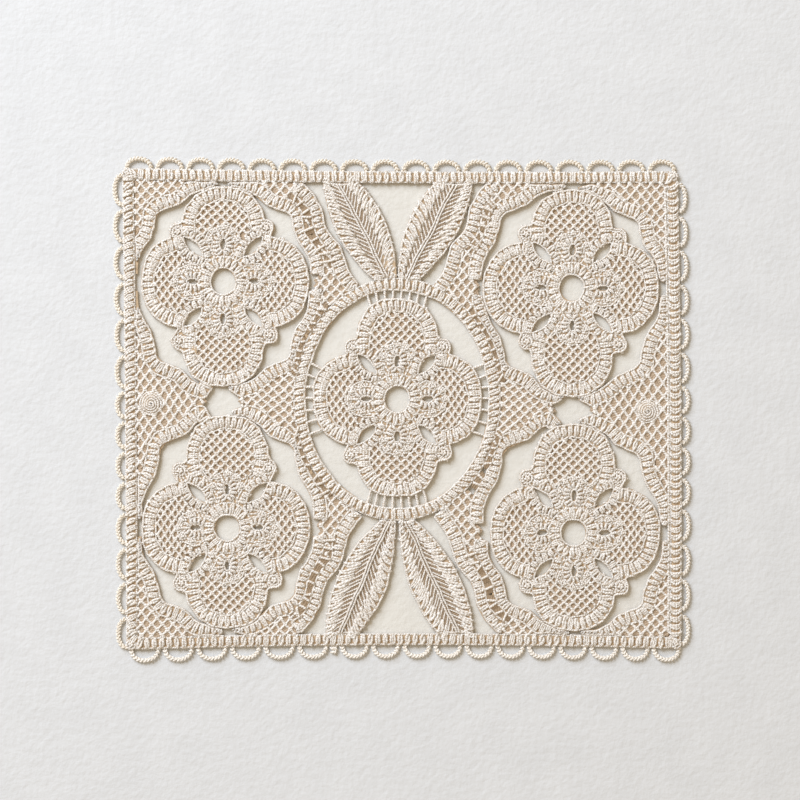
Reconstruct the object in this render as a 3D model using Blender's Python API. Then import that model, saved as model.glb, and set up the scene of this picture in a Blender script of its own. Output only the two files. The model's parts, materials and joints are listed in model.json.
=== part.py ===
"""Table mat of thick cotton lace, about 400 by 350 mm, lying flat.

A straight band frames the mat and carries a row of small loops outside.
Inside it are five four-petalled flowers, one of them in an oval ring, two
pairs of leaves, the wavy braids that join them and the net that fills the
rest. Sizes are in millimetres, x runs to the right, y up the mat and z up.
"""
import math

import bmesh
import bpy

MM = 0.001
GAP = 0.3

# Thickness of each kind of work.
TAPE_THICK = 3.0
LEAF_THICK = 2.6
RIB_THICK = 3.2
NET_THICK = 1.6
LADDER_THICK = 2.0
LOOP_THICK = 2.2
TALL = 9.0

# Band: its centre line passes the corners, each side bows inwards a little.
BAND_IN = 4.5
BAND_OUT = 3.4
BAND_CORNER = 4.0
BAND_STEPS = 9
CORNERS = {
    "top_left": (-189.9, 163.6),
    "top_right": (187.9, 161.5),
    "bottom_right": (190.3, -162.2),
    "bottom_left": (-187.2, -162.9),
}

# Sides of the band: corner it starts from, corner it ends at, inward bow,
# height of the loops outside it.
SIDES = {
    "top": ("top_left", "top_right", 1.2, 7.2),
    "right": ("top_right", "bottom_right", -1.2, 5.15),
    "bottom": ("bottom_right", "bottom_left", 2.9, 8.1),
    "left": ("bottom_left", "top_left", 0.6, 5.95),
}

# Runs of loops: side, place of the first and last loop along x or y, count.
LOOP_RUNS = (
    ("top", -182.0, 180.3, 18),
    ("right", 146.6, 28.8, 6),
    ("right", 6.6, -57.2, 4),
    ("right", -80.1, -152.8, 4),
    ("bottom", 183.4, -32.6, 11),
    ("bottom", -61.4, -177.8, 6),
    ("left", -154.9, -82.8, 4),
    ("left", -60.0, 3.1, 4),
    ("left", 26.0, 152.2, 6),
)
KNOB = ("bottom", -46.8, 3.6, 5.4)
STRIP = 0.8
LOOP_CORD = 2.0
LOOP_FILL = 0.455
LOOP_POINTS = 6
HOLE_POINTS = 5
LOOP_ROUND = 0.8

# Oval ring round the middle flower: centre and half axes of its middle line.
MIDDLE = (-3.0, 7.1)
RING_X = 67.6
RING_Y = 79.9
RING_HALF = 4.3
RING_POINTS = 60

# Flowers: x, y, and how far the petals reach up, right, down and left.
FLOWERS = {
    "top_left": (-123.4, 88.4, 66.5, 59.5, 73.1, 57.0),
    "top_right": (118.2, 84.2, 68.5, 60.0, 75.7, 61.5),
    "middle": (-3.0, 7.1, 70.0, 59.0, 68.0, 58.5),
    "bottom_left": (-120.6, -82.1, 78.6, 57.5, 69.5, 59.5),
    "bottom_right": (119.2, -85.6, 76.2, 60.0, 68.0, 58.0),
}
PETAL_WIDE = 28.6
PETAL_HIGH = 29.5
SIDE_PETAL_LONG = 30.0
SIDE_PETAL_HIGH = 31.8
PETAL_SQUARE = 2.3
LOBE_RADIUS = 6.0

# Small round lobes between the petals: x, y from the flower's centre, in the
# order upper left, upper right, lower right, lower left.
LOBES = {
    "top_left": ((-31.5, 34.8), (29.8, 37.4), (32.0, -36.9), (-30.4, -41.0)),
    "top_right": ((-31.9, 37.4), (32.4, 35.6), (32.4, -39.2), (-31.3, -37.0)),
    "middle": ((-30.4, 35.9), (31.3, 35.9), (32.1, -37.0), (-31.5, -38.6)),
    "bottom_left": ((-32.6, 39.8), (28.6, 41.2), (32.4, -36.0), (-31.8, -38.0)),
    "bottom_right": ((-32.0, 38.0), (30.9, 38.6), (32.7, -36.8), (-32.0, -36.2)),
}
EYE = (8.3, 9.0)
EYE_POINTS = 16
TEAR_AT = (21.5, 26.2)
TEAR = (1.9, 3.9)
TEAR_POINTS = 6
SLOT_FROM = (14.4, 17.6)
SLOT_TO = (27.4, 31.2)
SLOT_HALF = 3.3
SLOT_STEPS = 4
EDGE_TURN = 9
LOBE_TURNS = (-8.0, -5.6, -1.9, 1.9, 5.6, 8.0)
LOBE_CLEAR = 9.2
REACH_MAX = 90.0
FIELD_RIM = 9.4
FIELD_FLOOR = 1.7
CLUSTER_RADIUS = 13.6
FIELD_POINTS = 11

# Wavy braids round each outer flower: one corner of the round, from the
# petal above the centre to the petal beside it.
BRAID_PATH = (
    (5.2, 65.0), (13.5, 67.3), (25.0, 63.0), (32.0, 56.8), (39.0, 54.4),
    (45.8, 52.0), (50.6, 46.8), (52.0, 38.8), (54.4, 31.2), (59.6, 24.3),
    (63.4, 15.9), (64.2, 5.5),
)

# First two points of the braids that turn into the petal between two flowers.
BRAID_START = {
    ("top_left", "sw"): ((10.5, 61.5), (15.0, 67.4)),
    ("top_left", "se"): ((6.5, 63.5), (13.5, 67.3)),
    ("top_right", "sw"): ((7.0, 63.8), (13.5, 67.3)),
    ("top_right", "se"): ((6.5, 63.5), (13.5, 67.3)),
    ("bottom_left", "nw"): ((14.5, 61.5), (19.0, 67.0)),
    ("bottom_right", "nw"): ((11.5, 61.0), (16.5, 65.5)),
}
BRAID_HALF = 4.9
BRAID_STEP = 6.5

# How far each braid is drawn out across and up: flower, then the braids at
# its upper left, upper right, lower right and lower left.
TURNS = (("nw", -1, 1), ("ne", 1, 1), ("se", 1, -1), ("sw", -1, -1))
BRAID_DRAW = {
    "top_left": ((1.0, 1.02), (1.02, 1.0), (1.0, 1.12), (1.0, 1.13)),
    "top_right": ((1.05, 1.08), (1.0, 1.0), (1.02, 1.15), (1.0, 1.12)),
    "bottom_left": ((1.0, 1.2), (1.0, 1.19), (1.0, 1.03), (1.0, 1.07)),
    "bottom_right": ((1.05, 1.21), (1.0, 1.15), (1.03, 1.07), (1.0, 1.02)),
}

# Leaves: root on the ring, tip past the band, bow of the rib to its right.
# The half width follows a sine: where it starts, how far it runs, its power.
LEAVES = {
    "top_left": ((-6.6, 84.0), (-48.0, 164.0), 0.6),
    "top_right": ((0.6, 84.0), (43.5, 166.0), -1.0),
    "bottom_left": ((-7.4, -74.5), (-45.5, -162.0), 0.4),
    "bottom_right": ((1.2, -74.5), (43.2, -163.0), -0.4),
}
LEAF_HALF = 17.0
LEAF_STEPS = 16
LEAF_SWELL = (0.05, 0.82, 0.85)
RIB_HALF = 1.3
RIB_FOOT = 0.5

# Wavy braids that flank the leaves, from the ring out to the band, as the
# distance from the mat's upright axis and from the middle of the ring.
LEAF_BRAID_PATH = (
    (29.0, 78.5), (37.5, 91.0), (41.6, 101.5), (45.0, 112.5), (52.7, 121.5),
    (56.8, 131.5), (58.5, 141.0), (63.0, 149.5), (71.5, 158.5),
)
LEAF_BRAID_SPREAD = {
    "top_left": (0.98, 0.93),
    "top_right": (0.94, 0.93),
    "bottom_left": (0.98, 1.0),
    "bottom_right": (1.02, 1.0),
}
LEAF_BRAID_HALF = 5.1

# Wound dots: centre and radius, then the turned profile as share of the
# radius and height.
DOTS = {"left": (-173.6, 3.6, 9.0), "right": (170.7, -1.6, 9.0)}
DOT_SIDES = 18
DOT_PROFILE = ((1.0, 0.0), (1.0, 2.1), (0.62, 3.2), (0.0, 3.8))

# Net: openings of a coarse even net, and the upright ends of the side nets.
NET_PITCH = (10.0, 8.6)
NET_HOLE = (3.3, 2.7)
NET_MARGIN = 0.9
NET_END = {"left": (-137.5, -111.0), "right": (133.0, 104.5)}
SPANDREL_POINTS = 4
SPANDREL_TURN = (24.0, 38.4)
FOOT_CORNERS = ("bottom_left", "bottom_right")
FOOT_POINTS = 5
INNER_SPREAD = 42.0
RING_RUN_STEP = 8.0

# Ladders between ring and middle flower: direction, half spread, cells.
LADDERS = {
    "top": (90.0, 16.0, 7),
    "right": (0.0, 22.5, 6),
    "bottom": (270.0, 16.0, 7),
    "left": (180.0, 22.5, 6),
}
RAIL = 0.9
BAR = 1.3

COTTONS = {
    "tape": (0.80, 0.73, 0.63),
    "net": (0.77, 0.69, 0.58),
    "leaf": (0.79, 0.72, 0.61),
}


# ---------------------------------------------------------------- outlines
def unit(dx, dy):
    """Direction of length one."""
    size = math.hypot(dx, dy)
    return dx / size, dy / size


def area(outline):
    """Signed area, positive where the outline runs anticlockwise."""
    total = 0.0
    for (ax, ay), (bx, by) in zip(outline, outline[1:] + outline[:1]):
        total += ax * by - bx * ay
    return total / 2.0


def anticlockwise(outline):
    return outline if area(outline) > 0.0 else outline[::-1]


def smooth(points, step):
    """Rounded curve through the points, in stretches of about step."""
    ends = [points[0]] + list(points) + [points[-1]]
    curve = []
    for a, b, c, d in zip(ends, ends[1:], ends[2:], ends[3:]):
        pieces = max(1, round(math.dist(b, c) / step))
        for piece in range(pieces):
            t = piece / pieces
            curve.append(tuple(
                0.5 * (2 * b[k] + (c[k] - a[k]) * t
                       + (2 * a[k] - 5 * b[k] + 4 * c[k] - d[k]) * t * t
                       + (3 * b[k] - a[k] - 3 * c[k] + d[k]) * t ** 3)
                for k in (0, 1)))
    curve.append(tuple(points[-1]))
    return curve


def normals(path, closed=False):
    """Left-hand normal at each point, lengthened at corners."""
    count = len(path)
    found = []
    for i, point in enumerate(path):
        before = path[i - 1] if closed or i else point
        after = path[(i + 1) % count] if closed or i < count - 1 else point
        if before == point:
            before = (2 * point[0] - after[0], 2 * point[1] - after[1])
        if after == point:
            after = (2 * point[0] - before[0], 2 * point[1] - before[1])
        ax, ay = unit(point[0] - before[0], point[1] - before[1])
        bx, by = unit(after[0] - point[0], after[1] - point[1])
        tx, ty = unit(ax + bx, ay + by)
        stretch = 1.0 / max(0.4, ax * tx + ay * ty)
        found.append((-ty * stretch, tx * stretch))
    return found


def shifted(path, distance, closed=False):
    """The path moved sideways, to the left for a positive distance."""
    return [(x + nx * distance, y + ny * distance)
            for (x, y), (nx, ny) in zip(path, normals(path, closed))]


def grown(outline, distance):
    """A closed outline moved outwards."""
    return shifted(anticlockwise(outline), -distance, closed=True)


def ribbon(path, half):
    """Outline of a tape of the given half width along an open path."""
    return anticlockwise(shifted(path, -half) + shifted(path, half)[::-1])


def oval(cx, cy, rx, ry, count):
    """Points of an ellipse."""
    return [(cx + rx * math.cos(2 * math.pi * i / count),
             cy + ry * math.sin(2 * math.pi * i / count)) for i in range(count)]


def inside(point, loops):
    """True where the point lies within an odd number of the loops."""
    x, y = point
    crossings = 0
    for loop in loops:
        for (ax, ay), (bx, by) in zip(loop, loop[1:] + loop[:1]):
            if (ay > y) != (by > y) and x < ax + (y - ay) * (bx - ax) / (by - ay):
                crossings += 1
    return crossings % 2 == 1


def distance_to(point, loops):
    """Shortest distance from the point to any edge of the loops."""
    px, py = point
    best = math.inf
    for loop in loops:
        for (ax, ay), (bx, by) in zip(loop, loop[1:] + loop[:1]):
            ex, ey = bx - ax, by - ay
            span = ex * ex + ey * ey
            t = max(0.0, min(1.0, ((px - ax) * ex + (py - ay) * ey) / span))
            best = min(best, math.hypot(px - ax - t * ex, py - ay - t * ey))
    return best


# ------------------------------------------------------------------ solids
def new_object(name, mesh):
    body = bpy.data.objects.new(name, mesh)
    bpy.context.scene.collection.objects.link(body)
    return body


def prism(name, outlines, bottom, top):
    """Upright solid on each of the outlines, from bottom to top."""
    form = bmesh.new()
    for outline in outlines:
        ring = anticlockwise(list(outline))
        low = [form.verts.new((x * MM, y * MM, bottom * MM)) for x, y in ring]
        high = [form.verts.new((x * MM, y * MM, top * MM)) for x, y in ring]
        form.faces.new(low[::-1])
        form.faces.new(high)
        for i in range(len(ring)):
            j = (i + 1) % len(ring)
            form.faces.new((low[i], low[j], high[j], high[i]))
    mesh = bpy.data.meshes.new(name)
    form.to_mesh(mesh)
    form.free()
    return new_object(name, mesh)


def hoop(name, outer, inner, bottom, top):
    """Upright solid between two matching closed outlines."""
    form = bmesh.new()
    rings = [[form.verts.new((x * MM, y * MM, z * MM)) for x, y in loop]
             for loop, z in ((outer, bottom), (outer, top), (inner, top), (inner, bottom))]
    count = len(outer)
    for here, beyond in zip(rings, rings[1:] + rings[:1]):
        for i in range(count):
            j = (i + 1) % count
            form.faces.new((here[i], here[j], beyond[j], beyond[i]))
    bmesh.ops.recalc_face_normals(form, faces=form.faces)
    mesh = bpy.data.meshes.new(name)
    form.to_mesh(mesh)
    form.free()
    return new_object(name, mesh)


def discard(body):
    mesh = body.data
    bpy.data.objects.remove(body)
    bpy.data.meshes.remove(mesh)


def combine(body, tool, operation):
    """Applies one exact Boolean and removes the tool."""
    tool.hide_render = True
    tool.display_type = "WIRE"
    step = body.modifiers.new(operation.lower(), "BOOLEAN")
    step.operation = operation
    step.solver = "EXACT"
    step.object = tool
    bpy.context.view_layer.update()
    shape = body.evaluated_get(bpy.context.evaluated_depsgraph_get())
    mesh = bpy.data.meshes.new_from_object(shape)
    body.modifiers.remove(step)
    old = body.data
    body.data = mesh
    mesh.name = body.name
    bpy.data.meshes.remove(old)
    discard(tool)


def keep_largest(body):
    """Drops the offcuts that lie beyond a neighbour."""
    form = bmesh.new()
    form.from_mesh(body.data)
    form.verts.ensure_lookup_table()
    unseen = set(form.verts)
    islands = []
    while unseen:
        front = [unseen.pop()]
        island = list(front)
        while front:
            vertex = front.pop()
            for edge in vertex.link_edges:
                other = edge.other_vert(vertex)
                if other in unseen:
                    unseen.discard(other)
                    front.append(other)
                    island.append(other)
        islands.append(island)

    def spread(island):
        xs = [vertex.co.x for vertex in island]
        ys = [vertex.co.y for vertex in island]
        return (max(xs) - min(xs)) * (max(ys) - min(ys))

    islands.sort(key=spread)
    for island in islands[:-1]:
        bmesh.ops.delete(form, geom=island, context="VERTS")
    form.to_mesh(body.data)
    form.free()


def clear_of(body, *neighbours):
    """Cuts away what comes within the gap of the neighbouring pieces."""
    for loops in neighbours:
        if len(loops) == 2:
            tool = hoop("tool", shifted(loops[0], -GAP, True),
                        shifted(loops[1], GAP, True), -TALL, TALL)
        else:
            tool = prism("tool", [grown(loops[0], GAP)], -TALL, TALL)
        combine(body, tool, "DIFFERENCE")
    keep_largest(body)


def pierce(body, holes):
    """Cuts the closed outlines right through the body."""
    combine(body, prism("tool", holes, -TALL, TALL), "DIFFERENCE")


# -------------------------------------------------------------------- band
def side_point(side, share):
    """Point of a side's centre line, and its outward direction."""
    start, end, bow, _ = SIDES[side]
    ax, ay = CORNERS[start]
    bx, by = CORNERS[end]
    tx, ty = unit(bx - ax, by - ay)
    out = (-ty, tx)
    dip = -bow * 4.0 * share * (1.0 - share)
    return (ax + (bx - ax) * share + out[0] * dip,
            ay + (by - ay) * share + out[1] * dip), out


def band_loops():
    """Outer and inner outline of the band, both clockwise."""
    path = []
    for side, (start, end, _, _) in SIDES.items():
        length = math.dist(CORNERS[start], CORNERS[end])
        cut = BAND_CORNER / length
        shares = [cut + (1.0 - 2.0 * cut) * i / BAND_STEPS for i in range(BAND_STEPS + 1)]
        path += [side_point(side, share)[0] for share in shares]
    return [shifted(path, BAND_OUT, True)[::-1], shifted(path, -BAND_IN, True)[::-1]]


def make_band():
    outer, inner = band_loops()
    return hoop("border_band", outer, inner, 0.0, TAPE_THICK)


# ----------------------------------------------------------------- edging
def side_share(side, place):
    """Share of the side at which x (or y, on an upright side) is place."""
    start, end, _, _ = SIDES[side]
    axis = 0 if side in ("top", "bottom") else 1
    low = CORNERS[start][axis]
    return (place - low) / (CORNERS[end][axis] - low)


def loops_of(side):
    """Middle and half width of each loop along a side, in order."""
    found = []
    for run_side, first, last, count in LOOP_RUNS:
        if run_side != side:
            continue
        pitch = (last - first) / (count - 1)
        found += [(first + pitch * i, abs(pitch) * LOOP_FILL) for i in range(count)]
    return found


def arch(side, middle, half, height, base, count):
    """Points of one arched loop, standing on the band's outer edge."""
    start, end, _, _ = SIDES[side]
    length = math.dist(CORNERS[start], CORNERS[end])
    share = side_share(side, middle)
    points = []
    for i in range(count):
        angle = math.pi * (1.0 - i / (count - 1))
        here, out = side_point(side, share + half * math.cos(angle) / length)
        rise = base
        if 0 < i < count - 1:
            rise += (height - base) * math.sin(angle) ** LOOP_ROUND
        points.append((here[0] + out[0] * rise, here[1] + out[1] * rise))
    return points


def make_edging(side):
    """Row of loops along one side, on the thin strip that carries them."""
    height = BAND_IN + SIDES[side][3]
    foot = BAND_OUT + GAP
    top = foot + STRIP
    outline = []
    holes = []
    feet = []
    loops = [(middle, half, height, True) for middle, half in loops_of(side)]
    if side == KNOB[0]:
        loops.append((KNOB[1], KNOB[2], BAND_IN + KNOB[3], False))
        loops.sort(key=lambda loop: side_share(side, loop[0]))
    for middle, half, rise, hollow in loops:
        outline += arch(side, middle, half, rise, top, LOOP_POINTS)
        feet += arch(side, middle, half, foot, foot, 3)
        if hollow:
            holes.append(arch(side, middle, half - LOOP_CORD, rise - LOOP_CORD, top,
                              HOLE_POINTS))
    body = prism("edging_" + side, [outline + feet[::-1]], 0.0, LOOP_THICK)
    pierce(body, holes)
    return body


# ------------------------------------------------------------------ flowers
def flower_ovals(name):
    """Centre and half axes of the four petals and then the four lobes."""
    up, right, down, left = FLOWERS[name][2:]
    petals = [
        (0.0, up - PETAL_HIGH, PETAL_WIDE, PETAL_HIGH),
        (right - SIDE_PETAL_LONG, 0.0, SIDE_PETAL_LONG, SIDE_PETAL_HIGH),
        (0.0, PETAL_HIGH - down, PETAL_WIDE, PETAL_HIGH),
        (SIDE_PETAL_LONG - left, 0.0, SIDE_PETAL_LONG, SIDE_PETAL_HIGH),
    ]
    return petals + [(lx, ly, LOBE_RADIUS, LOBE_RADIUS) for lx, ly in LOBES[name]]


def flower_reach(ovals, angle):
    """Distance from the centre to the flower's edge in one direction."""
    dx, dy = math.cos(angle), math.sin(angle)

    def covered(t):
        return any(abs((dx * t - cx) / rx) ** PETAL_SQUARE
                   + abs((dy * t - cy) / ry) ** PETAL_SQUARE < 1.0
                   for cx, cy, rx, ry in ovals)

    far = REACH_MAX
    while not covered(far):
        far -= 1.0
    near = far
    far += 1.0
    for _ in range(8):
        middle = (near + far) / 2.0
        near, far = (middle, far) if covered(middle) else (near, middle)
    return near


def flower_angles(name):
    """Directions in which the edge is worked out, closer at the lobes."""
    degrees = set(range(0, 360, EDGE_TURN))
    for lx, ly in LOBES[name]:
        lobe = math.degrees(math.atan2(ly, lx)) % 360.0
        degrees = {d for d in degrees if abs(d - lobe) > LOBE_CLEAR}
        degrees |= {lobe + turn for turn in LOBE_TURNS}
    return [math.radians(d) for d in sorted(degrees)]


def flower_outline(name):
    x, y = FLOWERS[name][:2]
    ovals = flower_ovals(name)
    outline = []
    for angle in flower_angles(name):
        reach = flower_reach(ovals, angle)
        outline.append((x + reach * math.cos(angle), y + reach * math.sin(angle)))
    return outline


def lens(start, end, half, count):
    """Leaf-shaped slot between two points."""
    dx, dy = end[0] - start[0], end[1] - start[1]
    nx, ny = unit(-dy, dx)
    points = []
    for i in range(2 * count):
        share = i / count if i < count else 2.0 - i / count
        swell = half * math.sin(math.pi * i / count)
        points.append((start[0] + dx * share - nx * swell, start[1] + dy * share - ny * swell))
    return points


def flower_holes(x, y):
    """Round middle, four teardrops and four slots."""
    holes = [oval(x, y, *EYE, EYE_POINTS)]
    for sign in (-1, 1):
        holes.append(oval(x, y + sign * TEAR_AT[1], TEAR[0], TEAR[1], TEAR_POINTS))
        holes.append(oval(x + sign * TEAR_AT[0], y, TEAR[1], TEAR[0], TEAR_POINTS))
        for other in (-1, 1):
            holes.append(lens((x + sign * SLOT_FROM[0], y + other * SLOT_FROM[1]),
                              (x + sign * SLOT_TO[0], y + other * SLOT_TO[1]),
                              SLOT_HALF, SLOT_STEPS))
    return holes


def make_flower(name):
    """One flower with its holes and the sunk net field of each petal."""
    x, y = FLOWERS[name][:2]
    body = prism("flower_" + name, [flower_outline(name)], 0.0, TAPE_THICK)
    pierce(body, flower_holes(x, y))
    for cx, cy, rx, ry in flower_ovals(name)[:4]:
        field = prism("field", [oval(x + cx, y + cy, rx - FIELD_RIM, ry - FIELD_RIM, FIELD_POINTS)],
                      FIELD_FLOOR, TALL)
        side = (math.copysign(TEAR_AT[0], cx) if cx else 0.0,
                math.copysign(TEAR_AT[1], cy) if cy else 0.0)
        cluster = prism("cluster", [oval(x + side[0], y + side[1], CLUSTER_RADIUS,
                                         CLUSTER_RADIUS, FIELD_POINTS)], -TALL, 2.0 * TALL)
        combine(field, cluster, "DIFFERENCE")
        combine(body, field, "DIFFERENCE")
    return body


# ------------------------------------------------------- ring and ladders
def ring_loops():
    """Outer and inner outline of the oval ring, clockwise."""
    path = oval(*MIDDLE, RING_X, RING_Y, RING_POINTS)
    return [shifted(path, -RING_HALF, True), shifted(path, RING_HALF, True)]


def make_ring():
    outer, inner = ring_loops()
    return hoop("ring_middle", outer, inner, 0.0, TAPE_THICK)


def ring_inner_reach(angle):
    rx, ry = RING_X - RING_HALF, RING_Y - RING_HALF
    return 1.0 / math.hypot(math.cos(angle) / rx, math.sin(angle) / ry)


def make_ladder(side):
    """Short bars between the ring and one petal of the middle flower."""
    heading, spread, cells = LADDERS[side]
    ovals = flower_ovals("middle")
    x, y = MIDDLE

    def at(angle, near, far, share):
        r = (flower_reach(ovals, angle) + near) * (1 - share)
        r += (ring_inner_reach(angle) - far) * share
        return x + r * math.cos(angle), y + r * math.sin(angle)

    steps = 2 * cells + 1
    angles = [math.radians(heading - spread + 2 * spread * i / (steps - 1))
              for i in range(steps)]
    outline = [at(a, GAP, GAP, 1.0) for a in angles] + [at(a, GAP, GAP, 0.0) for a in angles[::-1]]
    body = prism("ladder_" + side, [outline], 0.0, LADDER_THICK)
    holes = []
    for cell in range(cells):
        a, b = angles[2 * cell], angles[2 * cell + 2]
        inset = BAR / 2.0 / ring_inner_reach((a + b) / 2.0)
        first = a + inset * (2.0 if cell == 0 else 1.0)
        last = b - inset * (2.0 if cell == cells - 1 else 1.0)
        rail = GAP + RAIL
        holes.append([at(first, rail, rail, 1.0), at(last, rail, rail, 1.0),
                      at(last, rail, rail, 0.0), at(first, rail, rail, 0.0)])
    pierce(body, holes)
    return body


# ------------------------------------------------------------------- braids
def braid_path(flower, tag):
    """Centre line of one braid beside a flower, from above to beside it."""
    x, y = FLOWERS[flower][:2]
    place = [turn[0] for turn in TURNS].index(tag)
    _, sx, sy = TURNS[place]
    wide, high = BRAID_DRAW[flower][place]
    start = BRAID_START.get((flower, tag), BRAID_PATH[:2])
    points = [(x + sx * px * wide, y + sy * py * high) for px, py in start + BRAID_PATH[2:]]
    return smooth(points, BRAID_STEP)


def leaf_braid_path(corner):
    """Centre line of the braid beside one leaf, from the ring to the band."""
    sx = -1 if "left" in corner else 1
    sy = 1 if "top" in corner else -1
    wide, high = LEAF_BRAID_SPREAD[corner]
    points = [(MIDDLE[0] + sx * px * wide, MIDDLE[1] + sy * py * high)
              for px, py in LEAF_BRAID_PATH]
    return smooth(points, BRAID_STEP)


# ------------------------------------------------------------------- leaves
def leaf_spine(corner):
    """Centre line of a leaf."""
    (ax, ay), (bx, by), bow = LEAVES[corner]
    nx, ny = unit(by - ay, ax - bx)
    return [(ax + (bx - ax) * t + nx * bow * math.sin(math.pi * t),
             ay + (by - ay) * t + ny * bow * math.sin(math.pi * t))
            for t in (i / LEAF_STEPS for i in range(LEAF_STEPS + 1))]


def leaf_half(share):
    """Half width of a leaf at a share of its length."""
    start, run, power = LEAF_SWELL
    return LEAF_HALF * math.sin(math.pi * (start + run * share)) ** power


def leaf_outline(corner):
    spine = leaf_spine(corner)
    offsets = normals(spine)
    sides = ([], [])
    for i, ((px, py), (nx, ny)) in enumerate(zip(spine, offsets)):
        half = leaf_half(i / LEAF_STEPS)
        sides[0].append((px - nx * half, py - ny * half))
        sides[1].append((px + nx * half, py + ny * half))
    return anticlockwise(sides[0] + sides[1][::-1])


def make_leaf(corner, *neighbours):
    """Pointed leaf with a raised midrib."""
    body = prism("leaf_" + corner, [leaf_outline(corner)], 0.0, LEAF_THICK)
    rib = prism("rib", [ribbon(leaf_spine(corner)[1:-1], RIB_HALF)], RIB_FOOT, RIB_THICK)
    combine(body, rib, "UNION")
    clear_of(body, *neighbours)
    return body


# ---------------------------------------------------------------------- net
def net_holes(region, neighbours):
    """Diamonds of an even net that stay clear of the edges all round."""
    xs = [x for x, _ in region]
    ys = [y for _, y in region]
    pitch_x, pitch_y = NET_PITCH
    half_x, half_y = NET_HOLE
    holes = []
    for row in range(math.floor(2 * min(ys) / pitch_y), math.ceil(2 * max(ys) / pitch_y)):
        for column in range(math.floor(min(xs) / pitch_x), math.ceil(max(xs) / pitch_x) + 1):
            x = (column + 0.5 * (row % 2)) * pitch_x
            y = row * pitch_y / 2.0
            diamond = [(x + half_x, y), (x, y + half_y), (x - half_x, y), (x, y - half_y)]
            if not all(inside(corner, [region]) for corner in diamond):
                continue
            if distance_to((x, y), [region]) < half_y:
                continue
            if any(inside(corner, loops) or distance_to(corner, loops) < NET_MARGIN + GAP
                   for loops in neighbours for corner in diamond):
                continue
            if any(distance_to(corner, [region]) < NET_MARGIN for corner in diamond):
                continue
            holes.append(diamond)
    return holes


def make_net(name, region, *neighbours):
    """Flat net over the region, trimmed to the pieces round it."""
    region = anticlockwise(region)
    body = prism("net_" + name, [region], 0.0, NET_THICK)
    clear_of(body, *neighbours)
    holes = net_holes(region, neighbours)
    if holes:
        pierce(body, holes)


def tags_at(corner):
    """Braids that face the mat's corner, its long side, its end and middle."""
    level = "n" if "top" in corner else "s"
    within = "s" if "top" in corner else "n"
    outside = "w" if "left" in corner else "e"
    inside_tag = "e" if "left" in corner else "w"
    return level + outside, level + inside_tag, within + outside, within + inside_tag


def make_corner_net(corner, band, braids):
    tag = tags_at(corner)[0]
    beside = braid_path(corner, tag)
    region = beside + [CORNERS[corner], (beside[0][0], CORNERS[corner][1])]
    make_net("corner_" + corner, region, band, braids[corner, tag])


def ring_run(first, last):
    """Points of the ring's middle line between two directions in degrees."""
    points = []
    count = math.ceil(abs(last - first) / RING_RUN_STEP)
    for i in range(count + 1):
        angle = math.radians(first + (last - first) * i / count)
        points.append((MIDDLE[0] + RING_X * math.cos(angle),
                       MIDDLE[1] + RING_Y * math.sin(angle)))
    return points


def make_spandrel_net(corner, band, ring, braids, leaf_braids, blooms):
    """Net between a flower, the ring and the braid beside a leaf."""
    _, upper, _, lower = tags_at(corner)
    beside = leaf_braid_path(corner)
    high = braid_path(corner, upper)
    low = braid_path(corner, lower)[::-1][:SPANDREL_POINTS]
    heading = 90.0 if "top" in corner else -90.0
    way = 1 if ("left" in corner) == ("top" in corner) else -1
    near, far = SPANDREL_TURN
    region = high + low + ring_run(heading + way * far, heading + way * near) + beside
    region += [(beside[-1][0], CORNERS[corner][1]), (high[0][0], CORNERS[corner][1])]
    make_net("spandrel_" + corner, region, band, ring, braids[corner, upper],
             braids[corner, lower], leaf_braids[corner], blooms[corner])


def make_foot_net(corner, band, braids, leaf_braids, blooms):
    """Small net where a flower's braid and a leaf's braid part at the band."""
    upper = tags_at(corner)[1]
    high = braid_path(corner, upper)[:FOOT_POINTS]
    beside = leaf_braid_path(corner)[-FOOT_POINTS:]
    edge = CORNERS[corner][1]
    region = high + beside + [(beside[-1][0], edge), (high[0][0], edge)]
    make_net("foot_" + corner, region, band, braids[corner, upper], leaf_braids[corner],
             blooms[corner])


def make_side_net(side, band, braids, blooms):
    """Net between two flowers and the band, round a wound dot."""
    x, y, radius = DOTS[side]
    above, below = "top_" + side, "bottom_" + side
    high_tag, low_tag = tags_at(above)[2], tags_at(below)[2]
    high = braid_path(above, high_tag)
    low = braid_path(below, low_tag)
    end = NET_END[side][0]
    edge = CORNERS[above][0]
    outward = 1 if edge > 0 else -1
    region = [(edge, high[-1][1])]
    region += [p for p in high[::-1] if outward * p[0] > outward * end]
    start = [p for p in low if outward * p[0] > outward * end]
    region += [(end, region[-1][1]), (end, start[0][1])] + start
    region += [(edge, low[-1][1])]
    dot = [oval(x, y, radius, radius, DOT_SIDES)]
    make_net("side_" + side, region, band, dot, braids[above, high_tag],
             braids[below, low_tag], blooms[above], blooms[below])


def make_inner_net(side, ring, braids, blooms):
    """Net between two flowers and the ring."""
    above, below = "top_" + side, "bottom_" + side
    high_tag, low_tag = tags_at(above)[3], tags_at(below)[3]
    end = NET_END[side][1]
    outward = -1 if side == "left" else 1
    high = [p for p in braid_path(above, high_tag) if outward * p[0] < outward * end]
    low = [p for p in braid_path(below, low_tag) if outward * p[0] < outward * end]
    spread = INNER_SPREAD * outward
    middle = 0.0 if outward > 0 else 180.0
    region = [(end, high[0][1])] + high + ring_run(middle + spread, middle - spread)
    region += low[::-1] + [(end, low[0][1])]
    make_net("inner_" + side, region, ring, braids[above, high_tag],
             braids[below, low_tag], blooms[above], blooms[below])


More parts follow.
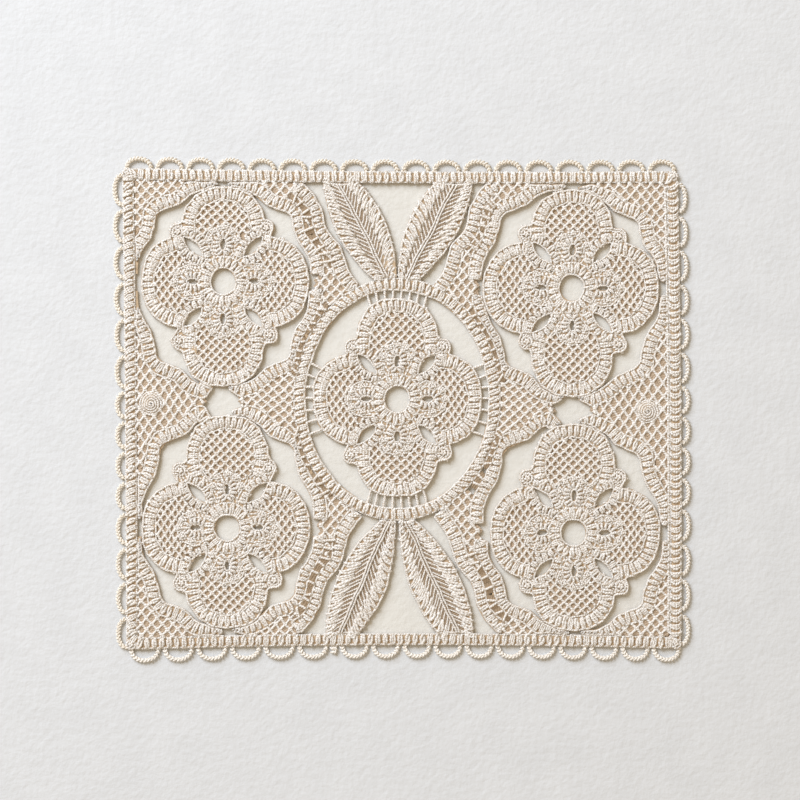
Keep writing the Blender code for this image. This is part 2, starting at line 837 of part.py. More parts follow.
# --------------------------------------------------------------------- dots
def make_dot(side):
    """Wound dot: a low turned button."""
    x, y, radius = DOTS[side]
    form = bmesh.new()
    rings = []
    for share, z in DOT_PROFILE[:-1]:
        circle = oval(x, y, radius * share, radius * share, DOT_SIDES)
        rings.append([form.verts.new((px * MM, py * MM, z * MM)) for px, py in circle])
    top = form.verts.new((x * MM, y * MM, DOT_PROFILE[-1][1] * MM))
    form.faces.new(rings[0][::-1])
    for i in range(DOT_SIDES):
        j = (i + 1) % DOT_SIDES
        for low, high in zip(rings, rings[1:]):
            form.faces.new((low[i], low[j], high[j], high[i]))
        form.faces.new((rings[-1][i], rings[-1][j], top))
    mesh = bpy.data.meshes.new("dot_" + side)
    form.to_mesh(mesh)
    form.free()
    return new_object("dot_" + side, mesh)


# ----------------------------------------------------------------- assembly
def clean_scene():
    for body in list(bpy.data.objects):
        bpy.data.objects.remove(body)


def cotton(name, colour):
    """Principled material for one kind of work."""
    material = bpy.data.materials.new(name)
    material.use_nodes = True
    shader = material.node_tree.nodes["Principled BSDF"]
    shader.inputs["Base Color"].default_value = (*colour, 1.0)
    shader.inputs["Roughness"].default_value = 0.9
    shader.inputs["Metallic"].default_value = 0.0
    return material


def give_materials():
    """Net and leaves have their own cotton, all the rest is tape."""
    looks = {name: cotton(name + "_cotton", colour) for name, colour in COTTONS.items()}
    for body in bpy.data.objects:
        kind = body.name.split("_")[0]
        body.data.materials.clear()
        body.data.materials.append(looks.get(kind, looks["tape"]))


def main():
    clean_scene()
    band = band_loops()
    ring = ring_loops()
    make_band()
    for side in SIDES:
        make_edging(side)
    make_ring()
    for side in LADDERS:
        make_ladder(side)

    blooms = {}
    for name in FLOWERS:
        make_flower(name)
        blooms[name] = [flower_outline(name)]

    leaves = {}
    for corner in LEAVES:
        partner = [leaves[c] for c in leaves if c.split("_")[0] == corner.split("_")[0]]
        make_leaf(corner, band, ring, *partner)
        leaves[corner] = [leaf_outline(corner)]

    leaf_braids = {}
    for corner in LEAVES:
        outline = ribbon(leaf_braid_path(corner), LEAF_BRAID_HALF)
        body = prism("leaf_braid_" + corner, [outline], 0.0, TAPE_THICK)
        clear_of(body, band, ring, leaves[corner])
        leaf_braids[corner] = [outline]

    braids = {}
    for flower in BRAID_DRAW:
        inner_side = "e" if "left" in flower else "w"
        for tag, _, _ in TURNS:
            outline = ribbon(braid_path(flower, tag), BRAID_HALF)
            body = prism("braid_" + flower + "_" + tag, [outline], 0.0, TAPE_THICK)
            neighbours = [band, blooms[flower]]
            if tag.endswith(inner_side):
                neighbours += [ring, leaf_braids[flower]]
            clear_of(body, *neighbours)
            braids[flower, tag] = [outline]

    for corner in LEAVES:
        make_corner_net(corner, band, braids)
        make_spandrel_net(corner, band, ring, braids, leaf_braids, blooms)
    for corner in FOOT_CORNERS:
        make_foot_net(corner, band, braids, leaf_braids, blooms)
    for side in DOTS:
        make_dot(side)
        make_side_net(side, band, braids, blooms)
        make_inner_net(side, ring, braids, blooms)
    give_materials()


main()
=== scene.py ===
"""Looks of a flat cotton lace mat: every tape, shell, leaf, net and loop in its own cords.

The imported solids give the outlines. Guide lines are laid over them in
millimetres, and one Geometry Nodes tree works them into upright stitches,
twisted cords and net strands.
"""
import json
import math
from random import Random

import bmesh
import bpy
from bpy.props import FloatProperty, FloatVectorProperty, IntProperty, PointerProperty
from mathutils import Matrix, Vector

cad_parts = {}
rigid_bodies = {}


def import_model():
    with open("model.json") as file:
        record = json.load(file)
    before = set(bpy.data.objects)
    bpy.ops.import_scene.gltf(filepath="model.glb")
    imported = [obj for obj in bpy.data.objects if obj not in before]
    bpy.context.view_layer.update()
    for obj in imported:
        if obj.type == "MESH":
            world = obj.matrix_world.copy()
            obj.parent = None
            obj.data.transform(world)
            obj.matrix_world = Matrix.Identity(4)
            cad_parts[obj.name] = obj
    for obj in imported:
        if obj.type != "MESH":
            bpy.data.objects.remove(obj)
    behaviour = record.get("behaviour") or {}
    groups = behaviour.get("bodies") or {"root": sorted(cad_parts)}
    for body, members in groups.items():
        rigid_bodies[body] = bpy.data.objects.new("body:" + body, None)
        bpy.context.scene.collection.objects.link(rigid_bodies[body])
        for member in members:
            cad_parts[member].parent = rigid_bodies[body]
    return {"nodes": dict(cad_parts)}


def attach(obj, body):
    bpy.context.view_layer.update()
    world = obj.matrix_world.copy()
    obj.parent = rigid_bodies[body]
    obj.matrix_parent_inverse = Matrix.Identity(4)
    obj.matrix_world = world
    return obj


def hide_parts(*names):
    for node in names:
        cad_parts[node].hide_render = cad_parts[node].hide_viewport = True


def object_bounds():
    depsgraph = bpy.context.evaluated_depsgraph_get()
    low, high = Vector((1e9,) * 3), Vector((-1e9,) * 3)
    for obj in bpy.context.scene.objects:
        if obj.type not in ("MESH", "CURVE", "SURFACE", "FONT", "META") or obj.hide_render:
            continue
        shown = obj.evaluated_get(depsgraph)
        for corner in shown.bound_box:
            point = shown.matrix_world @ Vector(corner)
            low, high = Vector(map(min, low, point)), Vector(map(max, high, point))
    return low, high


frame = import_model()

bl_info = {
    "name": "Cotton Lace Mat",
    "version": (1, 0, 0),
    "blender": (4, 5, 0),
    "location": "3D View > Sidebar > Lace Mat",
    "description": "Works a lace mat's tapes, flowers, leaves, net and loops in cotton cord",
    "category": "Object",
}

MM = 0.001
CAD_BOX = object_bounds()

# ------------------------------------------------------------ layout tables
# Band: its middle line passes the corners. Sides: corner it starts from,
# corner it ends at, inward bow, height of its loops, slant and bow of its
# stitches.
BAND_IN = 4.5
BAND_OUT = 3.4
BAND_CORNER = 4.0
CORNERS = {
    "top_left": (-189.9, 163.6),
    "top_right": (187.9, 161.5),
    "bottom_right": (190.3, -162.2),
    "bottom_left": (-187.2, -162.9),
}
SIDES = {
    "top": ("top_left", "top_right", 1.2, 7.2, 4.0, 0.0),
    "right": ("top_right", "bottom_right", -1.2, 5.15, 4.0, 2.0),
    "bottom": ("bottom_right", "bottom_left", 2.9, 8.1, -4.0, 0.0),
    "left": ("bottom_left", "top_left", 0.6, 5.95, 26.0, 0.9),
}

# Runs of loops: side, place of the first and last loop, count.
LOOP_RUNS = (
    ("top", -182.0, 180.3, 18),
    ("right", 146.6, 28.8, 6),
    ("right", 6.6, -57.2, 4),
    ("right", -80.1, -152.8, 4),
    ("bottom", 183.4, -32.6, 11),
    ("bottom", -61.4, -177.8, 6),
    ("left", -154.9, -82.8, 4),
    ("left", -60.0, 3.1, 4),
    ("left", 26.0, 152.2, 6),
)
KNOB = ("bottom", -46.8, 3.6, 5.4)
LOOP_FILL = 0.455
LOOP_ROUND = 0.8

# Oval ring round the middle flower.
MIDDLE = (-3.0, 7.1)
RING_X = 67.6
RING_Y = 79.9
RING_HALF = 4.3

# Flowers: x, y, and how far the petals reach up, right, down and left.
FLOWERS = {
    "top_left": (-123.4, 88.4, 66.5, 59.5, 73.1, 57.0),
    "top_right": (118.2, 84.2, 68.5, 60.0, 75.7, 61.5),
    "middle": (-3.0, 7.1, 70.0, 59.0, 68.0, 58.5),
    "bottom_left": (-120.6, -82.1, 78.6, 57.5, 69.5, 59.5),
    "bottom_right": (119.2, -85.6, 76.2, 60.0, 68.0, 58.0),
}
PETAL_WIDE = 28.6
PETAL_HIGH = 29.5
SIDE_PETAL_LONG = 30.0
SIDE_PETAL_HIGH = 31.8
PETAL_SQUARE = 2.3
LOBE_RADIUS = 6.0
LOBES = {
    "top_left": ((-31.5, 34.8), (29.8, 37.4), (32.0, -36.9), (-30.4, -41.0)),
    "top_right": ((-31.9, 37.4), (32.4, 35.6), (32.4, -39.2), (-31.3, -37.0)),
    "middle": ((-30.4, 35.9), (31.3, 35.9), (32.1, -37.0), (-31.5, -38.6)),
    "bottom_left": ((-32.6, 39.8), (28.6, 41.2), (32.4, -36.0), (-31.8, -38.0)),
    "bottom_right": ((-32.0, 38.0), (30.9, 38.6), (32.7, -36.8), (-32.0, -36.2)),
}
EYE = (8.3, 9.0)
TEAR_AT = (21.5, 26.2)
TEAR = (1.9, 3.9)
SLOT_FROM = (14.4, 17.6)
SLOT_TO = (27.4, 31.2)
SLOT_HALF = 3.3
FIELD_RIM = 9.4
CLUSTER_RADIUS = 13.6

# One quarter of the wavy braids round an outer flower, and how far each
# braid is drawn out across and up.
BRAID_PATH = (
    (5.2, 65.0), (13.5, 67.3), (25.0, 63.0), (32.0, 56.8), (39.0, 54.4),
    (45.8, 52.0), (50.6, 46.8), (52.0, 38.8), (54.4, 31.2), (59.6, 24.3),
    (63.4, 15.9), (64.2, 5.5),
)
BRAID_START = {
    ("top_left", "sw"): ((10.5, 61.5), (15.0, 67.4)),
    ("top_left", "se"): ((6.5, 63.5), (13.5, 67.3)),
    ("top_right", "sw"): ((7.0, 63.8), (13.5, 67.3)),
    ("top_right", "se"): ((6.5, 63.5), (13.5, 67.3)),
    ("bottom_left", "nw"): ((14.5, 61.5), (19.0, 67.0)),
    ("bottom_right", "nw"): ((11.5, 61.0), (16.5, 65.5)),
}
BRAID_HALF = 4.9
TURNS = (("nw", -1, 1), ("ne", 1, 1), ("se", 1, -1), ("sw", -1, -1))
BRAID_DRAW = {
    "top_left": ((1.0, 1.02), (1.02, 1.0), (1.0, 1.12), (1.0, 1.13)),
    "top_right": ((1.05, 1.08), (1.0, 1.0), (1.02, 1.15), (1.0, 1.12)),
    "bottom_left": ((1.0, 1.2), (1.0, 1.19), (1.0, 1.03), (1.0, 1.07)),
    "bottom_right": ((1.05, 1.21), (1.0, 1.15), (1.03, 1.07), (1.0, 1.02)),
}

# Leaves: root on the ring, tip past the band, bow of the rib to its right.
LEAVES = {
    "top_left": ((-6.6, 84.0), (-48.0, 164.0), 0.6),
    "top_right": ((0.6, 84.0), (43.5, 166.0), -1.0),
    "bottom_left": ((-7.4, -74.5), (-45.5, -162.0), 0.4),
    "bottom_right": ((1.2, -74.5), (43.2, -163.0), -0.4),
}
LEAF_HALF = 17.0
LEAF_SWELL = (0.05, 0.82, 0.85)
LEAF_BRAID_PATH = (
    (29.0, 78.5), (37.5, 91.0), (41.6, 101.5), (45.0, 112.5), (52.7, 121.5),
    (56.8, 131.5), (58.5, 141.0), (63.0, 149.5), (71.5, 158.5),
)
LEAF_BRAID_SPREAD = {
    "top_left": (0.98, 0.93),
    "top_right": (0.94, 0.93),
    "bottom_left": (0.98, 1.0),
    "bottom_right": (1.02, 1.0),
}
LEAF_BRAID_HALF = 5.1

# Wound dots: centre and radius.
DOTS = {"left": (-173.6, 3.6, 9.0), "right": (170.7, -1.6, 9.0)}

# Ladders: direction, half spread in degrees, cells.
LADDERS = {
    "top": (90.0, 16.0, 7),
    "right": (0.0, 22.5, 6),
    "bottom": (270.0, 16.0, 7),
    "left": (180.0, 22.5, 6),
}

# Heights of the work above the surface.
TAPE_MID = 1.85
NET_MID = 1.8
PETAL_NET_MID = 1.9
EDGE_LEVEL = 1.7
FIELD_FLOOR = 1.7
FLOWER_TOP = 3.0

# Close base under the work: how far it keeps in, its two heights and its
# thickness.
GROUND_INSET = 0.06
GROUND_TOP = 1.85
FIELD_TOP = 1.3
GROUND_THICK = 1.1

# -------------------------------------------------------------- stitch work
# Kinds of line: rows of stitches, rows of single threads, twisted cords,
# strands, and strands with a film of painted shade.
ROW, FINE, ROPE, STRAND, SHADE_FILMED = 0.0, 1.0, 2.0, 3.0, 4.0

# Stitch as it is made before it is sized, and the faces it has.
STITCH_HALF = 4.0
STITCH_CORD = 0.9
STITCH_STEPS = 8
THREAD_SIDES = 5
THREAD_FLAT = 0.74
# How far the film of painted shade hangs below its strand.
SHADE_FILM_DROP = 0.45
PLY_PITCH = 1.7

# Stitches: sideways places of the threads, their thickness, and how far
# they turn about each other.
STITCHES = (
    ((-0.82, 0.86), 1.02, 0.3),
    ((-0.86, 0.82), 1.04, -0.34),
    ((-0.8, 0.84), 1.06, 0.42),
    ((-1.15, 0.0, 1.15), 0.8, 0.16),
    ((-0.84, 0.84), 1.02, -0.2),
)
FINE_STITCHES = (
    ((0.1,), 1.0, 0.1),
    ((-0.12,), 1.06, 0.3),
    ((0.0,), 0.95, -0.2),
)

# Rows: half width, distance from stitch to stitch, and cord.
BAND_PITCH = {"top": 5.0, "right": 4.9, "bottom": 5.3, "left": 5.5}
BAND_ROW = (3.95, 1.14)
RING_ROW = (3.9, 4.95, 1.12)
EYE_OVAL = (13.1, 13.8)
EYE_ROW = (3.9, 4.5, 1.12)
TEAR_ROW = (2.4, 2.7, 1.22)
PETAL_ROW = (4.4, 4.25, 1.1)
SLOT_ROW = (2.7, 4.2, 1.12)
BRAID_STITCH = (4.2, 1.04)
LOOP_CHAIN = {"half": 2.1, "pitch": 2.3, "cord": 0.98}

# Band, loops and ring: cords at the edges, the cord inside the band on the
# right (width and height), the two rows of a loop (turn of the stitches,
# distance from the rim), and how the ring's stitches lean.
BAND_CORD = 0.72
INNER_CORD = (1.05, 1.9)
CORNER_PUFF = 1.25
LOOP_ROWS = ((36.0, 0.75), (-36.0, 1.75))
LOOP_LEVEL = 1.3
RING_LEAN = (20.0, 22.0)
RING_CORD = 0.74
BAR_CORD = 1.0
BAR_TUCK = 1.5

# Parts of a flower: size of the eye's ring, tape beside a slot, distance
# of a row from the teardrop and from the slot, and how far in degrees the
# rows go round.
EYE_RING = (17.2, 17.9)
EYE_CORD = 0.8
SLOT_TAPE = 5.8
SLOT_AWAY = 3.4
TEAR_AWAY = (3.0, 2.8)
TEAR_TURN = 158.0
PETAL_TURN = 115.0

# Rosettes: turns and distance at which they lie, and size and rise of their
# two rings.
PUFF_TURNS = (-76.0, -38.0, 0.0, 38.0, 76.0)
PUFF_AWAY = (8.2, 7.2)
PUFF_REACH = 3.2
PUFF_RINGS = ((2.3, 0.2), (0.75, 0.75))
PUFF_LEAN = 38.0
LOBE_PUFF = 1.5

# Loose stitches on bare tape: grid, half length, how unevenly they point,
# and the start of their draws.
FILL_PITCH = 2.4
FILL_HALF = 1.1
FILL_TURN = 0.7
FILL_SEED = 5

# Nets: width and height of a cell, strands, a film of painted shade over
# the holes, and how much a strand swells at the crossings.
PETAL_CELLS = {"upright": (6.1, 6.2), "side": (5.3, 7.2)}
NET_CELLS = {
    "net_corner": (7.2, 7.8),
    "net_spandrel": (7.0, 8.0),
    "net_foot": (7.0, 7.6),
    "net_side": (6.7, 9.2),
    "net_inner": (7.4, 6.8),
}
PETAL_STRAND = 1.1
NET_STRAND = 1.14
NET_SHADE_FILM = 2.75
NET_TUCK = 1.3
PETAL_TUCK = 0.7
CROSSING_RISE = 0.12
KNOT = 0.3

# Leaves: fingers at the rim, threads, and slits of painted shadow beside the rib.
LEAF_STEPS = 100
FINGER_PITCH = 5.1
FINGER_LEAN = 38.0
FINGER_PLACE = (0.69, 0.3)
THREAD_PITCH = 3.7
THREAD_LEAN = 40.0
THREAD_REACH = 0.45
SHADOW_SLIT_HALF = 0.9

# Lanes of small openings where a braid lies beside the ring or beside
# another braid: how near that is, how far each row then keeps back, and
# the bars across.
LANE_NEAR = 2.4
LANE_RING = 2.3
LANE_BRAID = 1.9
BAR_PITCH = 6.4
BAR_GAP = 4.2
BAR_SLANT = 1.1
# Half width of the film of painted shadow along each bar.
BAR_SHADE_FILM = 3.8
BAR_LEVEL = 2.55

# Dots: turns of the winding and the points along it.
DOT_TURNS = 5.0
DOT_STEPS = 150
DOT_CORD = 0.95

# ------------------------------------------------------------------- stage
# In metres, apart from the tints.
FLOOR_HALF = 4.0
KEY_FROM = (-0.64, 0.72, 0.63)
KEY_DISTANCE = 3.8
KEY_TINT = (0.81, 0.885, 1.0)
FILL_TINT = (1.0, 0.84, 0.625)
VIEW_CENTRE = (-0.00104, 0.00659)
# Painted warm bounce light on the floor under the mat, and how far in metres it fades at the mat's
# edges.
BOUNCE = (0.735, 0.722, 0.68)
BOUNCE_SOFT = 0.012
SENSOR_WIDTH = 36.0


# ---------------------------------------------------------------- outlines
def unit(dx, dy):
    """The same direction, one long."""
    size = math.hypot(dx, dy)
    return dx / size, dy / size


def smooth(points, step):
    """Rounded curve through the points, in stretches of about step."""
    ends = [points[0]] + list(points) + [points[-1]]
    curve = []
    for a, b, c, d in zip(ends, ends[1:], ends[2:], ends[3:]):
        pieces = max(1, round(math.dist(b, c) / step))
        for piece in range(pieces):
            t = piece / pieces
            curve.append(tuple(
                0.5 * (2 * b[k] + (c[k] - a[k]) * t
                       + (2 * a[k] - 5 * b[k] + 4 * c[k] - d[k]) * t * t
                       + (3 * b[k] - a[k] - 3 * c[k] + d[k]) * t ** 3)
                for k in (0, 1)))
    curve.append(tuple(points[-1]))
    return curve


def normals(path, closed=False):
    """Left-hand normal of length one at each point."""
    count = len(path)
    found = []
    for i in range(count):
        before = path[i - 1] if closed or i else path[i]
        after = path[(i + 1) % count] if closed or i < count - 1 else path[i]
        tx, ty = unit(after[0] - before[0], after[1] - before[1])
        found.append((-ty, tx))
    return found


def shifted(path, distance, closed=False):
    """The path moved sideways, to the left for a positive distance."""
    away = distance if isinstance(distance, (list, tuple)) else [distance] * len(path)
    return [(x + nx * d, y + ny * d)
            for (x, y), (nx, ny), d in zip(path, normals(path, closed), away)]


def arc(cx, cy, rx, ry, first, last, count, square=2.0):
    """Points of an oval between two directions in degrees, squared off."""
    points = []
    for i in range(count + 1):
        angle = math.radians(first + (last - first) * i / count)
        c, s = math.cos(angle), math.sin(angle)
        points.append((cx + rx * math.copysign(abs(c) ** (2.0 / square), c),
                       cy + ry * math.copysign(abs(s) ** (2.0 / square), s)))
    return points


def oval(cx, cy, rx, ry, count):
    """Points once round, the first not repeated."""
    return arc(cx, cy, rx, ry, 0.0, 360.0, count)[:-1]


def steps_between(low, high, step):
    """Even values from low to high, about step apart."""
    count = max(1, round((high - low) / step))
    return [low + (high - low) * i / count for i in range(count + 1)]


def inside(point, loops):
    """True where the point lies within an odd number of the loops."""
    x, y = point
    crossings = 0
    for loop in loops:
        for (ax, ay), (bx, by) in zip(loop, loop[1:] + loop[:1]):
            if (ay > y) != (by > y) and x < ax + (y - ay) * (bx - ax) / (by - ay):
                crossings += 1
    return crossings % 2 == 1


def kept(path, holds, closed=False):
    """Stretches of the path over which the test holds, as lists of places."""
    order = list(range(len(path)))
    held = [holds(point) for point in path]
    if closed and False in held:
        start = held.index(False)
        order = order[start:] + order[:start]
    found = [[]]
    for i in order:
        if held[i]:
            found[-1].append(i)
        elif found[-1]:
            found.append([])
    return [stretch for stretch in found if len(stretch) > 1]


def fitted(path, half, loops):
    """Stretches of the path fitted within the loops: point, normal and half width of each."""
    found = [[]]
    for (x, y), (nx, ny) in zip(path, normals(path)):
        low, high = -half, half
        if not all(inside((x + nx * t, y + ny * t), loops) for t in (0.96 * low, 0.96 * high)):
            held = [t for t in steps_between(-half, half, 0.35)
                    if inside((x + nx * t, y + ny * t), loops)]
            low, high = (held[0], held[-1]) if held else (0.0, 0.0)
        if high - low > 2.4:
            middle = (low + high) / 2.0
            found[-1].append((x + nx * middle, y + ny * middle, nx, ny, (high - low) / 2.0))
        elif found[-1]:
            found.append([])
    return [stretch for stretch in found if len(stretch) > 2]


def wound(loop):
    """The loop turned anticlockwise."""
    turned = sum(a[0] * b[1] - b[0] * a[1] for a, b in zip(loop, loop[1:] + loop[:1]))
    return loop if turned > 0.0 else loop[::-1]


def spaced(loop, step):
    """A closed loop with points at even steps."""
    ring = loop + loop[:1]
    lengths = [math.dist(a, b) for a, b in zip(ring, ring[1:])]
    count = max(6, round(sum(lengths) / step))
    gap = sum(lengths) / count
    points = []
    walked = 0.0
    for (a, b), length in zip(zip(ring, ring[1:]), lengths):
        while len(points) < count and len(points) * gap <= walked + length + 1e-9:
            t = (len(points) * gap - walked) / max(length, 1e-9)
            points.append((a[0] + (b[0] - a[0]) * t, a[1] + (b[1] - a[1]) * t))
        walked += length
    return points


# ------------------------------------------------------- layout of the work
def side_point(side, share):
    """Point of a side's middle line, and its outward direction."""
    start, end, bow = SIDES[side][:3]
    ax, ay = CORNERS[start]
    bx, by = CORNERS[end]
    tx, ty = unit(bx - ax, by - ay)
    out = (-ty, tx)
    dip = -bow * 4.0 * share * (1.0 - share)
    return (ax + (bx - ax) * share + out[0] * dip,
            ay + (by - ay) * share + out[1] * dip), out


def side_share(side, place):
    """Share of the side at which x (or y, on an upright side) is place."""
    start, end = SIDES[side][:2]
    axis = 0 if side in ("top", "bottom") else 1
    low = CORNERS[start][axis]
    return (place - low) / (CORNERS[end][axis] - low)


def side_length(side):
    """Length of one side, from corner to corner."""
    return math.dist(CORNERS[SIDES[side][0]], CORNERS[SIDES[side][1]])


def loops_of(side):
    """Middle and half width of each loop along a side."""
    found = []
    for run_side, first, last, count in LOOP_RUNS:
        if run_side == side:
            pitch = (last - first) / (count - 1)
            found += [(first + pitch * i, abs(pitch) * LOOP_FILL) for i in range(count)]
    return found


def arch(side, middle, half, height, base, count):
    """Points of one arched loop, standing on the band's outer edge."""
    share = side_share(side, middle)
    points = []
    for i in range(count):
        angle = math.pi * (1.0 - i / (count - 1))
        here, out = side_point(side, share + half * math.cos(angle) / side_length(side))
        rise = base + (height - base) * max(0.0, math.sin(angle)) ** LOOP_ROUND
        points.append((here[0] + out[0] * rise, here[1] + out[1] * rise))
    return points


def petals_of(name):
    """Each petal's heading, centre and half axes from the flower's centre."""
    up, right, down, left = FLOWERS[name][2:]
    return (
        (90.0, 0.0, up - PETAL_HIGH, PETAL_WIDE, PETAL_HIGH),
        (0.0, right - SIDE_PETAL_LONG, 0.0, SIDE_PETAL_LONG, SIDE_PETAL_HIGH),
        (270.0, 0.0, PETAL_HIGH - down, PETAL_WIDE, PETAL_HIGH),
        (180.0, SIDE_PETAL_LONG - left, 0.0, SIDE_PETAL_LONG, SIDE_PETAL_HIGH),
    )


def flower_reach(name, angle):
    """Distance from the centre to the flower's edge in one direction."""
    dx, dy = math.cos(angle), math.sin(angle)
    ovals = [petal[1:] for petal in petals_of(name)]
    ovals += [(lx, ly, LOBE_RADIUS, LOBE_RADIUS) for lx, ly in LOBES[name]]
    reach = 90.0
    while not any(abs((dx * reach - cx) / rx) ** PETAL_SQUARE
                  + abs((dy * reach - cy) / ry) ** PETAL_SQUARE < 1.0
                  for cx, cy, rx, ry in ovals):
        reach -= 0.25
    return reach


def ring_reach(angle, offset):
    """Distance from the ring's centre to its middle line plus an offset."""
    rx, ry = RING_X + offset, RING_Y + offset
    return 1.0 / math.hypot(math.cos(angle) / rx, math.sin(angle) / ry)


def braid_path(flower, place, step):
    """Middle line of one wavy braid of a flower."""
    x, y = FLOWERS[flower][:2]
    tag, sx, sy = TURNS[place]
    wide, high = BRAID_DRAW[flower][place]
    start = BRAID_START.get((flower, tag), BRAID_PATH[:2])
    return smooth([(x + sx * px * wide, y + sy * py * high)
                   for px, py in start + BRAID_PATH[2:]], step)


def leaf_braid_path(corner, step):
    """Middle line of the braid that runs past a leaf."""
    sx = -1 if "left" in corner else 1
    sy = 1 if "top" in corner else -1
    wide, high = LEAF_BRAID_SPREAD[corner]
    return smooth([(MIDDLE[0] + sx * px * wide, MIDDLE[1] + sy * py * high)
                   for px, py in LEAF_BRAID_PATH], step)


def leaf_spine(corner, count):
    """Points along the curved rib of a leaf."""
    (ax, ay), (bx, by), bow = LEAVES[corner]
    nx, ny = unit(by - ay, ax - bx)
    return [(ax + (bx - ax) * t + nx * bow * math.sin(math.pi * t),
             ay + (by - ay) * t + ny * bow * math.sin(math.pi * t))
            for t in (i / count for i in range(count + 1))]


def leaf_halves(count):
    """Half width of a leaf at each point of its rib."""
    start, run, power = LEAF_SWELL
    return [LEAF_HALF * math.sin(math.pi * (start + run * i / count)) ** power
            for i in range(count + 1)]


def flat_faces(node, level):
    """Triangles of a solid at one height, with all lengths in millimetres."""
    mesh = frame["nodes"][node].data
    mesh.calc_loop_triangles()
    faces = []
    for triangle in mesh.loop_triangles:
        corners = [mesh.vertices[i].co for i in triangle.vertices]
        if all(abs(corner.z / MM - level) < 0.01 for corner in corners):
            faces.append([(round(c.x / MM, 3), round(c.y / MM, 3)) for c in corners])
    return faces


def node_loops(node, level=0.0):
    """Closed outlines of a solid at one height, the longest first."""
    edges = set()
    for face in flat_faces(node, level):
        face = wound(face)
        for edge in zip(face, face[1:] + face[:1]):
            if edge[::-1] in edges:
                edges.remove(edge[::-1])
            else:
                edges.add(edge)
    following = dict(sorted(edges))
    loops = []
    while following:
        start, here = following.popitem()
        loop = [start]
        while here != start and here in following:
            loop.append(here)
            here = following.pop(here)
        loops.append(wound(loop))
    return sorted(loops, key=lambda loop: -sum(math.dist(a, b) for a, b in zip(loop, loop[1:])))


# ------------------------------------------------------------------- guides
class Guide:
    """Lines along which the cotton is worked, with a value of each kind at each point."""

    FIELDS = ("kind", "half", "cord", "pitch", "slant", "bow")
    LENGTHS = ("half", "cord", "pitch", "bow")

    def __init__(self):
        self.points = []
        self.edges = []
        self.values = {field: [] for field in self.FIELDS}

    def add(self, path, where=None, closed=False, level=TAPE_MID, **given):
        """Lays a path wherever the test holds. Any value may be a list, one for each point."""
        count = len(path)
        whole = where is None or all(where(point) for point in path)
        stretches = [list(range(count))] if whole else kept(path, where, closed)
        for stretch in stretches:
            if len(stretch) < 2:
                continue
            first = len(self.points)
            for i in stretch:
                z = level[i] if isinstance(level, list) else level
                self.points.append((path[i][0] * MM, path[i][1] * MM, z * MM))
            for field in self.FIELDS:
                value = given.get(field, 0.0)
                size = MM if field in self.LENGTHS else 1.0
                self.values[field] += [(value[i] if isinstance(value, list) else value) * size
                                       for i in stretch]
            last = len(self.points) - 1
            self.edges += [(i, i + 1) for i in range(first, last)]
            if closed and whole:
                self.edges.append((last, first))

    def row(self, path, half, pitch, cord, **more):
        """A row of stitches across the path."""
        self.add(path, kind=ROW, half=half, pitch=pitch, cord=cord, **more)

    def fine(self, path, half, pitch, cord, **more):
        """A row of single threads across the path."""
        self.add(path, kind=FINE, half=half, pitch=pitch, cord=cord, **more)

    def rope(self, path, cord, **more):
        """A twisted cord of slanting grains."""
        more.setdefault("level", TAPE_MID + 0.3)
        self.add(path, kind=ROPE, half=cord * 1.75, pitch=cord * 2.1, cord=cord,
                 slant=math.radians(20.0), **more)

    def rim(self, path, cord=0.85, **more):
        """A smooth cord along the edge of a tape."""
        more.setdefault("level", TAPE_MID + 0.35)
        self.add(path, kind=STRAND, cord=cord, **more)

    def strand(self, path, cord, shade_film=0.0, **more):
        """One plain strand, or one with a thin film of painted shade of this half width along it."""
        more.setdefault("level", TAPE_MID)
        self.add(path, kind=SHADE_FILMED if shade_film else STRAND, cord=cord, half=shade_film, **more)

    def join(self, other):
        """Takes over the lines of another guide."""
        first = len(self.points)
        self.points += other.points
        self.edges += [(a + first, b + first) for a, b in other.edges]
        for field in self.FIELDS:
            self.values[field] += other.values[field]

    def mesh(self, name):
        """All lines as one mesh of edges, with their values."""
        mesh = bpy.data.meshes.new(name)
        mesh.from_pydata(self.points, self.edges, [])
        for field, values in self.values.items():
            layer = mesh.attributes.new(field, "FLOAT", "POINT")
            layer.data.foreach_set("value", values)
        return mesh


# -------------------------------------------------------- objects and nodes
def placed(name, data):
    """New object in the scene."""
    body = bpy.data.objects.new(name, data)
    bpy.context.scene.collection.objects.link(body)
    return body


def new_material(name):
    """New material, with its tree and its shader."""
    material = bpy.data.materials.new(name)
    material.use_nodes = True
    return material, material.node_tree, material.node_tree.nodes["Principled BSDF"]


def add(tree, kind, inputs=None, **settings):
    """Adds a node, with values or other nodes' sockets on its inputs."""
    node = tree.nodes.new(kind)
    for name, value in settings.items():
        setattr(node, name, value)
    for name, value in (inputs or {}).items():
        if isinstance(value, bpy.types.NodeSocket):
            tree.links.new(value, node.inputs[name])
        else:
            node.inputs[name].default_value = value
    return node


def sums(tree, operation, a, b=0.0, c=0.0):
    """One step of arithmetic on numbers."""
    inputs = {0: a, 1: b, 2: c} if operation == "MULTIPLY_ADD" else {0: a, 1: b}
    return add(tree, "ShaderNodeMath", inputs, operation=operation).outputs[0]


def vectors(tree, operation, a, b=(0.0, 0.0, 0.0)):
    """One step of arithmetic on vectors."""
    return add(tree, "ShaderNodeVectorMath", {0: a, 1: b}, operation=operation).outputs[0]


def scaled(tree, vector, size):
    return add(tree, "ShaderNodeVectorMath", {0: vector, "Scale": size},
               operation="SCALE").outputs[0]


def named(tree, name, kind="FLOAT"):
    """Reads a stored value."""
    return add(tree, "GeometryNodeInputNamedAttribute", {"Name": name}, data_type=kind).outputs[0]


def stored(tree, geometry, name, value, kind="FLOAT"):
    return add(tree, "GeometryNodeStoreNamedAttribute",
               {"Geometry": geometry, "Name": name, "Value": value}, data_type=kind).outputs[0]


